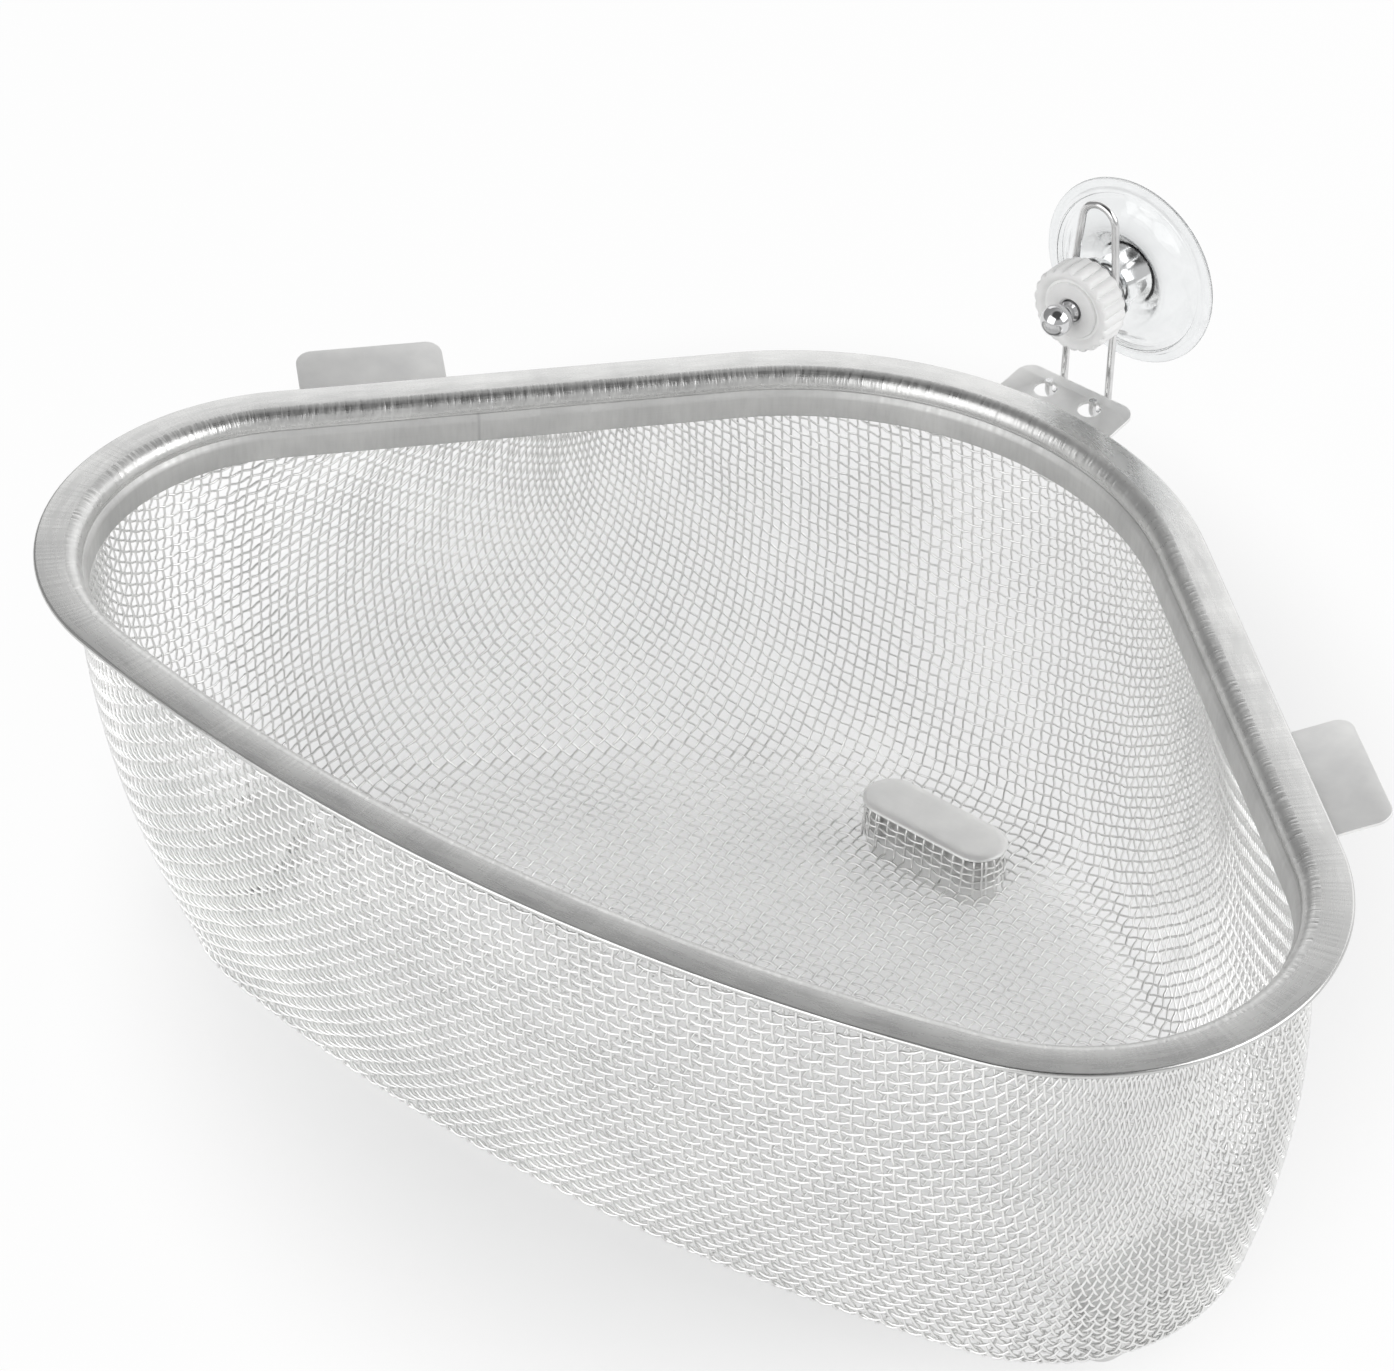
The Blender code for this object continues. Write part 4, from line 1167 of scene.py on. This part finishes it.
# %% The hanger tab
HANGER_TAB_WIDTH = 28.5 * MM
HANGER_TAB_REACH = 9.7 * MM
HANGER_TAB_LIFT = math.radians(8)
HANGER_TURN = math.radians(5.5)
HOLE_RADIUS = 2.45 * MM
HOLE_SPACING = 11.3 * MM
HOLE_REACH = 4.6 * MM
HOLE_POINTS = 40
hanger_place = tab_place(RIM_APEX_RADIUS * math.sin(HANGER_TURN),
                         RIM_APEX_CENTRE + RIM_APEX_RADIUS * math.cos(HANGER_TURN), -HANGER_TURN)
loops = [blank_outline(HANGER_TAB_WIDTH, HANGER_TAB_REACH)]
for side in (-1, 1):
    loops.append(arc(side * HOLE_SPACING / 2, HOLE_REACH, HOLE_RADIUS, 0, 2 * math.pi, HOLE_POINTS)[:-1])
hanger = punched_blank("hanger_blank", loops, HANGER_TAB_LIFT, hanger_place)
dress(hanger, tab_steel, "basket", "tab_steel", "hanger_tab")

# %% [markdown]
# ## The hook's own frame
# The wire hook hangs in the two holes of the tab and swings about the line between its two
# bends. Its points could be worked out in the frame at once, but the turned tab makes that
# hard to read. The frame's joints give that line and the stud's axis, so the hook set is
# modelled round zero and carried to its place by two matrices.

# %% The hook's own frame
joints = {joint["name"]: joint for joint in frame["joints"]}
hanger_turn = Matrix.Rotation(-HANGER_TURN, 4, "Z")
hook_place = Matrix.Translation(joints["hook_swing"]["pos_m"]) @ hanger_turn
stud_place = (Matrix.Translation(joints["cup_turn"]["pos_m"]) @ hanger_turn
              @ Matrix.Rotation(-math.pi / 2, 4, "X"))
print("hinge", [round(v, 4) for v in hook_place.translation],
      "stud", [round(v, 4) for v in stud_place.translation])

# %% [markdown]
# ## The wire hook
# One spring wire is bent to a hairpin with a small J at each end. It could be two tubes and
# a half ring, but one path has no joints to hide. It goes through the same Geometry Nodes
# tree as the mesh, only with more sides. Its tips are ground round, which the path gives by a
# radius that falls off over its last points.

# %% The wire hook
HOOK_WIRE_RADIUS = 0.8 * MM
J_RADIUS = 2.7 * MM
J_TIP = 1.8 * MM
LOOP_RADIUS = 4.1 * MM
STUD_HEIGHT = 22.5 * MM
LOOP_ABOVE_STUD = 22.2 * MM
TIP_STEPS = 5
TIP_SHARE = 0.12
J_STEPS = 24
LOOP_STEPS = 32
HOOK_SIDES = 28


def hook_path():
    """Points and radius shares from one tip round the hairpin to the other."""
    spread = HOLE_SPACING / 2
    loop_z = STUD_HEIGHT + LOOP_ABOVE_STUD - HOOK_WIRE_RADIUS - LOOP_RADIUS
    tip_turns = np.linspace(0, math.pi / 2, TIP_STEPS + 1)[:-1]
    tip = [(spread, -J_RADIUS, J_TIP - HOOK_WIRE_RADIUS * (1 - math.cos(a))) for a in tip_turns]
    bend = [(spread, y, z) for y, z in arc(0, 0, J_RADIUS, math.pi, 2 * math.pi, J_STEPS)]
    loop = [(x, J_RADIUS, z) for x, z in arc(0, loop_z, LOOP_RADIUS, 0, math.pi, LOOP_STEPS)]
    half = tip + bend
    points = half + [(spread, J_RADIUS, STUD_HEIGHT)] + loop + [(-spread, J_RADIUS, STUD_HEIGHT)]
    points += [(-x, y, z) for x, y, z in half[::-1]]
    ends = [max(math.sin(a), TIP_SHARE) for a in tip_turns]
    shares = ends + [1.0] * (len(points) - 2 * TIP_STEPS) + ends[::-1]
    return [hook_place @ Vector(point) for point in points], shares


hook_points, hook_shares = hook_path()
hook = drawn_wires("bent_wire_hook", [hook_points], HOOK_WIRE_RADIUS, HOOK_SIDES, wire_steel,
                   shares=[hook_shares])
dress(hook, wire_steel, "hook", "wire_steel", "wire_hook")

# %% [markdown]
# ## Turned pieces
# Cup, stud and nut are all made round one axis. A Screw modifier would spin a profile too,
# but each piece here is a list of radius and height that goes through the same loft as the
# rim, so that it has the same map and its pole is closed. The cup is moulded clear vinyl,
# with a thin lip, a raised ring and a soft shoulder. These are what one sees of it, so its
# section gets most of the points.

# %% Turned pieces
WIRE_FACE = HOOK_WIRE_RADIUS + SEAT_GAP
STUD_RADIUS = 2.2 * MM
TURN_STEPS = 96
FILLET_STEPS = 5
SLOPE_STEPS = 14


def turned(name, profile, closed_profile, steps=TURN_STEPS, wave=None):
    """A mesh from (radius, height) points round the stud's axis; wave is a depth for each angle."""
    angles = np.linspace(0, 2 * math.pi, steps + 1)[:-1]
    rows = []
    for radius, height, *depth in profile:
        reach = radius - (wave(angles) * depth[0] if depth else 0)
        reach = np.broadcast_to(reach, angles.shape)
        points = np.column_stack([reach * np.cos(angles), reach * np.sin(angles), np.full(steps, height)])
        rows.append([stud_place @ Vector(point) for point in points])
    return lofted(name, rows, closed_profile)


def fillet(radius, height, size, start, end, steps=FILLET_STEPS):
    """Arc points round (radius, height), the angle measured from outward to upward."""
    return [tuple(p) for p in arc(radius, height, size, math.radians(start), math.radians(end), steps)]


def soft_slope(low, high):
    """An S shaped slope between two (radius, height) points."""
    shares = np.linspace(0, 1, SLOPE_STEPS + 1)
    return [(low[0] + (high[0] - low[0]) * s, low[1] + (high[1] - low[1]) * (1 - math.cos(math.pi * s)) / 2)
            for s in shares]

# %% The suction cup
CUP_RADIUS = 20.8 * MM
CUP_DEPTH = 12.0 * MM
CUP_NECK_RADIUS = 7.0 * MM
CUP_NECK_LENGTH = 2.2 * MM
CUP_WALL = 2.4 * MM
CUP_HOLLOW_DEPTH = 4.2 * MM
CUP_LIP_WIDTH = 2.6 * MM
CUP_RING_RADIUS = 0.55 * MM
CUP_RING_STEPS = 8
CUP_EDGE = 0.45 * MM
CUP_RING_DROP = 2.6 * CUP_EDGE
CUP_RING_FOOT = 1.4 * CUP_RING_RADIUS
CUP_LIP_THICKNESS = 2 * CUP_EDGE
STUD_SEAT = 3.2 * MM
STUD_HEAD_RADIUS = 5.0 * MM
STUD_HEAD_THICKNESS = 1.4 * MM


def cup_profile():
    lip = WIRE_FACE + CUP_DEPTH
    hollow = lip - CUP_HOLLOW_DEPTH
    bore = STUD_RADIUS + SEAT_GAP
    pocket = STUD_HEAD_RADIUS + SEAT_GAP
    edge = CUP_EDGE
    ring = CUP_RADIUS - CUP_LIP_WIDTH
    neck = WIRE_FACE + CUP_NECK_LENGTH
    points = [(bore, WIRE_FACE)]
    points += fillet(CUP_NECK_RADIUS - edge, WIRE_FACE + edge, edge, -90, 0)
    points += soft_slope((CUP_NECK_RADIUS, neck), (ring - CUP_RING_RADIUS, lip - CUP_RING_DROP))
    points += fillet(ring, lip - CUP_RING_DROP, CUP_RING_RADIUS, -170, -10, CUP_RING_STEPS)
    points += [(ring + CUP_RING_FOOT, lip - CUP_LIP_THICKNESS)]
    points += fillet(CUP_RADIUS - edge, lip - edge, edge, -90, 90, CUP_RING_STEPS)
    points += soft_slope((CUP_RADIUS - 2 * edge, lip), (CUP_NECK_RADIUS + CUP_WALL, hollow))
    points += [(pocket, hollow), (pocket, WIRE_FACE + STUD_SEAT), (bore, WIRE_FACE + STUD_SEAT)]
    return points


cup = turned("clear_cup", cup_profile(), True)
dress(cup, clear_vinyl, "cup", "clear_vinyl", "suction_cup")

# %% [markdown]
# ## The stud
# A turned and plated pin: a flat head hidden in the cup, a straight shank under the nut, a
# narrow neck and a ball to pull it by. A ball set on a pin would cut into it; one profile
# runs from the head to the ball's pole. The ball's mirror finish is what the eye catches, so
# it has the most rings.

# %% The stud
NUT_THICKNESS = 7.0 * MM
STUD_NECK = 2.0 * MM
NECK_TAPER = 0.25 * STUD_NECK
NECK_GROOVE = 0.5 * MM
BALL_RADIUS = 3.3 * MM
BALL_STEPS = 24
HEAD_EDGE = 0.3 * MM
STUD_TURN_STEPS = 64


def stud_profile():
    seat = WIRE_FACE + STUD_SEAT + SEAT_GAP
    face = -WIRE_FACE - NUT_THICKNESS
    neck = STUD_RADIUS - NECK_GROOVE
    start = math.asin(STUD_RADIUS / BALL_RADIUS)
    ball = face - STUD_NECK - BALL_RADIUS * math.cos(start)
    points = fillet(STUD_HEAD_RADIUS - HEAD_EDGE, seat + STUD_HEAD_THICKNESS - HEAD_EDGE, HEAD_EDGE, 90, 0)
    points += [(STUD_HEAD_RADIUS, seat), (STUD_RADIUS, seat), (STUD_RADIUS, face)]
    points += [(neck, face - NECK_TAPER), (neck, face - STUD_NECK)]
    points += [(BALL_RADIUS * math.sin(a), ball + BALL_RADIUS * math.cos(a))
               for a in np.linspace(start, math.pi, BALL_STEPS + 1)[:-1]]
    return points


stud = turned("plated_stud", stud_profile(), False, STUD_TURN_STEPS)
dress(stud, stud_chrome, "pin", "stud_chrome", "stud")

# %% [markdown]
# ## The knurled nut
# Moulded in white plastic, with soft lobes for the fingers, a raised collar round the bore
# and a shallow dish between them. The lobes could be cut out one by one, but they are one
# wave round the edge, at its full depth between the two rounded shoulders.

# %% The knurled nut
NUT_RADIUS = 9.4 * MM
NUT_LOBES = 22
NUT_LOBE_DEPTH = 0.7 * MM
LOBE_STEPS = 12
LOBE_FULLNESS = 0.8
NUT_SHOULDER = 0.9 * MM
NUT_SHOULDER_STEPS = 6
NUT_COLLAR_RADIUS = 6.2 * MM
NUT_COLLAR_EDGE = 0.4 * MM
NUT_DISH = 0.8 * MM
NUT_COLLAR_DROP = 0.1 * NUT_DISH
DISH_SLOPE = ((2, 0), (1.4, 0.15), (0.7, 1), (0, 1))


def lobes(angles):
    """Depth of the hollows between round lobes, 0 on a lobe's crown."""
    return 1 - np.abs(np.cos(angles * NUT_LOBES / 2)) ** LOBE_FULLNESS


def nut_profile():
    near = -WIRE_FACE
    far = near - NUT_THICKNESS
    bore = STUD_RADIUS + SEAT_GAP
    shoulder = NUT_SHOULDER
    collar = NUT_COLLAR_RADIUS
    face = far + NUT_COLLAR_DROP
    side = fillet(NUT_RADIUS - shoulder, near - shoulder, shoulder, 90, 0, NUT_SHOULDER_STEPS)
    side += fillet(NUT_RADIUS - shoulder, far + shoulder, shoulder, 0, -90, NUT_SHOULDER_STEPS)
    points = [(r, z, NUT_LOBE_DEPTH * max(0.0, (r - NUT_RADIUS + shoulder) / shoulder)) for r, z in side]
    points += [(collar + out * NUT_DISH, far + down * NUT_DISH) for out, down in DISH_SLOPE]
    points += fillet(collar - NUT_COLLAR_EDGE, face + NUT_COLLAR_EDGE, NUT_COLLAR_EDGE, 0, -90)
    points += [(bore + NUT_COLLAR_EDGE, face), (bore, far + NUT_COLLAR_EDGE), (bore, near)]
    return points


nut = turned("lobed_nut", nut_profile(), True, NUT_LOBES * LOBE_STEPS, lobes)
dress(nut, white_plastic, "nut", "white_plastic", "knurled_nut")

# %% [markdown]
# ## Stage
# The basket stands on plain white paper. A lit white floor would turn grey away from the
# lamps, so the paper glows where the eye or a reflection meets it, and less in an oval under
# and behind the basket: that oval is painted shade, and the real shadow shows in it too.

# %% The floor
FLOOR_SIZE = 6.0
PAPER_TONE = 0.9
PAPER_ROUGHNESS = 0.9
GLOW_FAR = 0.95
GLOW_NEAR = 0.4
SHADE_CENTRE = (-0.03, 0.045)
SHADE_TURN = math.radians(33.3)
SHADE_REACH = (0.16, 0.21)
SHADE_CORE = 0.6
WHITE = (1, 1, 1, 1)


def floor_material():
    """White paper whose glow falls off toward the middle of an oval under the basket: painted shade."""
    material, tree, shader = new_material("pale_floor")
    shader.inputs["Base Color"].default_value = (PAPER_TONE, PAPER_TONE, PAPER_TONE, 1)
    shader.inputs["Roughness"].default_value = PAPER_ROUGHNESS
    path = add_node(tree, "ShaderNodeLightPath").outputs
    seen = link_math(tree, "MAXIMUM", path["Is Camera Ray"], path["Is Glossy Ray"])
    seen = link_math(tree, "MAXIMUM", seen, path["Is Transmission Ray"])
    # The oval is painted shade: the paper's glow falls to GLOW_NEAR in its middle, under and behind the
    # basket.
    oval = add_node(tree, "ShaderNodeMapping", {
        "Vector": coordinates(tree, False), "Location": (*SHADE_CENTRE, 0),
        "Rotation": (0, 0, SHADE_TURN), "Scale": (*SHADE_REACH, 1)}, vector_type="TEXTURE")
    away = add_node(tree, "ShaderNodeVectorMath", {0: oval.outputs["Vector"]}, operation="LENGTH")
    glow = add_node(tree, "ShaderNodeMapRange", {
        "Value": away.outputs["Value"], "From Min": SHADE_CORE, "From Max": 1.0,
        "To Min": GLOW_NEAR, "To Max": GLOW_FAR}, interpolation_type="SMOOTHSTEP")
    share = link_math(tree, "MULTIPLY", seen, glow.outputs["Result"])
    paper = add_node(tree, "ShaderNodeEmission", {"Color": WHITE, "Strength": 1.0})
    mix = add_node(tree, "ShaderNodeMixShader", {"Fac": share, 1: shader.outputs[0], 2: paper.outputs[0]})
    tree.links.new(mix.outputs[0], tree.nodes["Material Output"].inputs["Surface"])
    return material


half = FLOOR_SIZE / 2
corners = [(-half, -half, 0), (half, -half, 0), (half, half, 0), (-half, half, 0)]
floor_mesh = bpy.data.meshes.new("floor")
floor_mesh.from_pydata(corners, [], [(0, 1, 2, 3)])
floor_mesh.materials.append(floor_material())
floor = bpy.data.objects.new("floor", floor_mesh)
scene.collection.objects.link(floor)
print("floor", FLOOR_SIZE, "m wide")

# %% [markdown]
# ## Light
# Polished sheet shows the room more than itself. A picture of a studio could surround it, but
# a few plain shapes are enough: three large soft boxes behind, to the right and in front, and
# a dim room. Its wall on one side and its ceiling are darker still, and they give the rolled
# edge its dark band between bright ones. For the eye the room's backdrop is plain white.

# %% The world
ROOM_LIGHT = 0.54
Patch = namedtuple("Patch", "direction start end share")
DIM_WALL = Patch((-0.9, 0.2, 0.38), 0.4, 0.9, 0.63)
DIM_CEILING = Patch((0.2, -0.3, 0.93), 0.74, 0.9, 0.15)
world = bpy.data.worlds.new("studio")
scene.world = world
world.use_nodes = True
studio = world.node_tree
room = studio.nodes["Background"]
view_out = add_node(studio, "ShaderNodeTexCoord").outputs["Generated"]


def dimmed(patch):
    """Falls from 1 to the patch's share of the light, as the view out nears its direction."""
    toward = add_node(studio, "ShaderNodeVectorMath", {
        0: view_out, 1: patch.direction}, operation="DOT_PRODUCT")
    level = add_node(studio, "ShaderNodeMapRange", {
        "Value": toward.outputs["Value"], "From Min": patch.start, "From Max": patch.end,
        "To Min": 1.0, "To Max": patch.share}, interpolation_type="SMOOTHSTEP")
    return level.outputs["Result"]


patches = link_math(studio, "MULTIPLY", dimmed(DIM_WALL), dimmed(DIM_CEILING))
room.inputs["Color"].default_value = WHITE
studio.links.new(link_math(studio, "MULTIPLY", patches, ROOM_LIGHT), room.inputs["Strength"])
backdrop = add_node(studio, "ShaderNodeBackground", {"Color": WHITE, "Strength": 1.0})
eye = add_node(studio, "ShaderNodeLightPath").outputs["Is Camera Ray"]
choice = add_node(studio, "ShaderNodeMixShader", {"Fac": eye, 1: room.outputs[0], 2: backdrop.outputs[0]})
studio.links.new(choice.outputs[0], studio.nodes["World Output"].inputs["Surface"])
print("room light", ROOM_LIGHT, "with", len(studio.nodes), "nodes")

# %% [markdown]
# Each soft box is one large even surface, and polished steel shows it as such. Its power could
# be set by eye, but then a change of its size would change its brightness too. So it is given
# its brightness, and the power follows from that and from its area.

# %% Lamps
LAMP_AIM = Vector((0, 0, 0.06))


def softbox(name, direction, distance, size, radiance):
    """A rectangular lamp of one brightness, seen from the basket in the given direction."""
    lamp = bpy.data.lights.new(name, "AREA")
    lamp.shape = "RECTANGLE"
    lamp.size, lamp.size_y = size
    lamp.energy = radiance * math.pi * size[0] * size[1]
    obj = bpy.data.objects.new(name, lamp)
    scene.collection.objects.link(obj)
    obj.location = LAMP_AIM + Vector(direction).normalized() * distance
    obj.rotation_euler = (LAMP_AIM - obj.location).to_track_quat("-Z", "Y").to_euler()
    print(name, "soft box", size, "m,", round(lamp.energy, 2), "W")


softbox("behind", (-0.26, 0.87, 0.43), 1.4, (2.3, 0.88), 0.92)
softbox("right", (0.77, 0.25, 0.59), 1.2, (1.1, 0.85), 2.3)
softbox("front", (-0.2, -0.86, 0.47), 1.2, (1.3, 1.1), 1.62)

# %% [markdown]
# ## The camera
# The photograph was taken from the right and above, close by. A camera could track an empty,
# but a track holds no roll, so its three axes are written out as one matrix.

# %% The camera
TARGET = Vector((0.01330, -0.030739, 0.107))
AZIMUTH = math.radians(33.334)
ELEVATION = math.radians(37.843)
ROLL = math.radians(1.667)
DISTANCE = 0.83992
SENSOR_WIDTH = 36
LENS = 114.84
SHIFT = (-0.0499, 0.0011)

camera_data = bpy.data.cameras.new("photo_camera")
camera_data.sensor_width = SENSOR_WIDTH
camera_data.lens = LENS
camera_data.shift_x, camera_data.shift_y = SHIFT
camera = bpy.data.objects.new("photo_camera", camera_data)
scene.collection.objects.link(camera)
back = Vector((math.sin(AZIMUTH) * math.cos(ELEVATION),
               -math.cos(AZIMUTH) * math.cos(ELEVATION),
               math.sin(ELEVATION)))
right = Vector((math.cos(AZIMUTH), math.sin(AZIMUTH), 0))
up = back.cross(right)
rolled_right = right * math.cos(ROLL) + up * math.sin(ROLL)
rolled_up = up * math.cos(ROLL) - right * math.sin(ROLL)
pose = Matrix((rolled_right, rolled_up, back)).transposed().to_4x4()
pose.translation = TARGET + back * DISTANCE
camera.matrix_world = pose
scene.camera = camera
print("camera at", [round(v, 4) for v in pose.translation])

# %% [markdown]
# ## Colour
# The standard view shows colours as they are written. A filmic one would soften the whites
# and grey the steel.

# %% Colour
scene.view_settings.view_transform = "Standard"
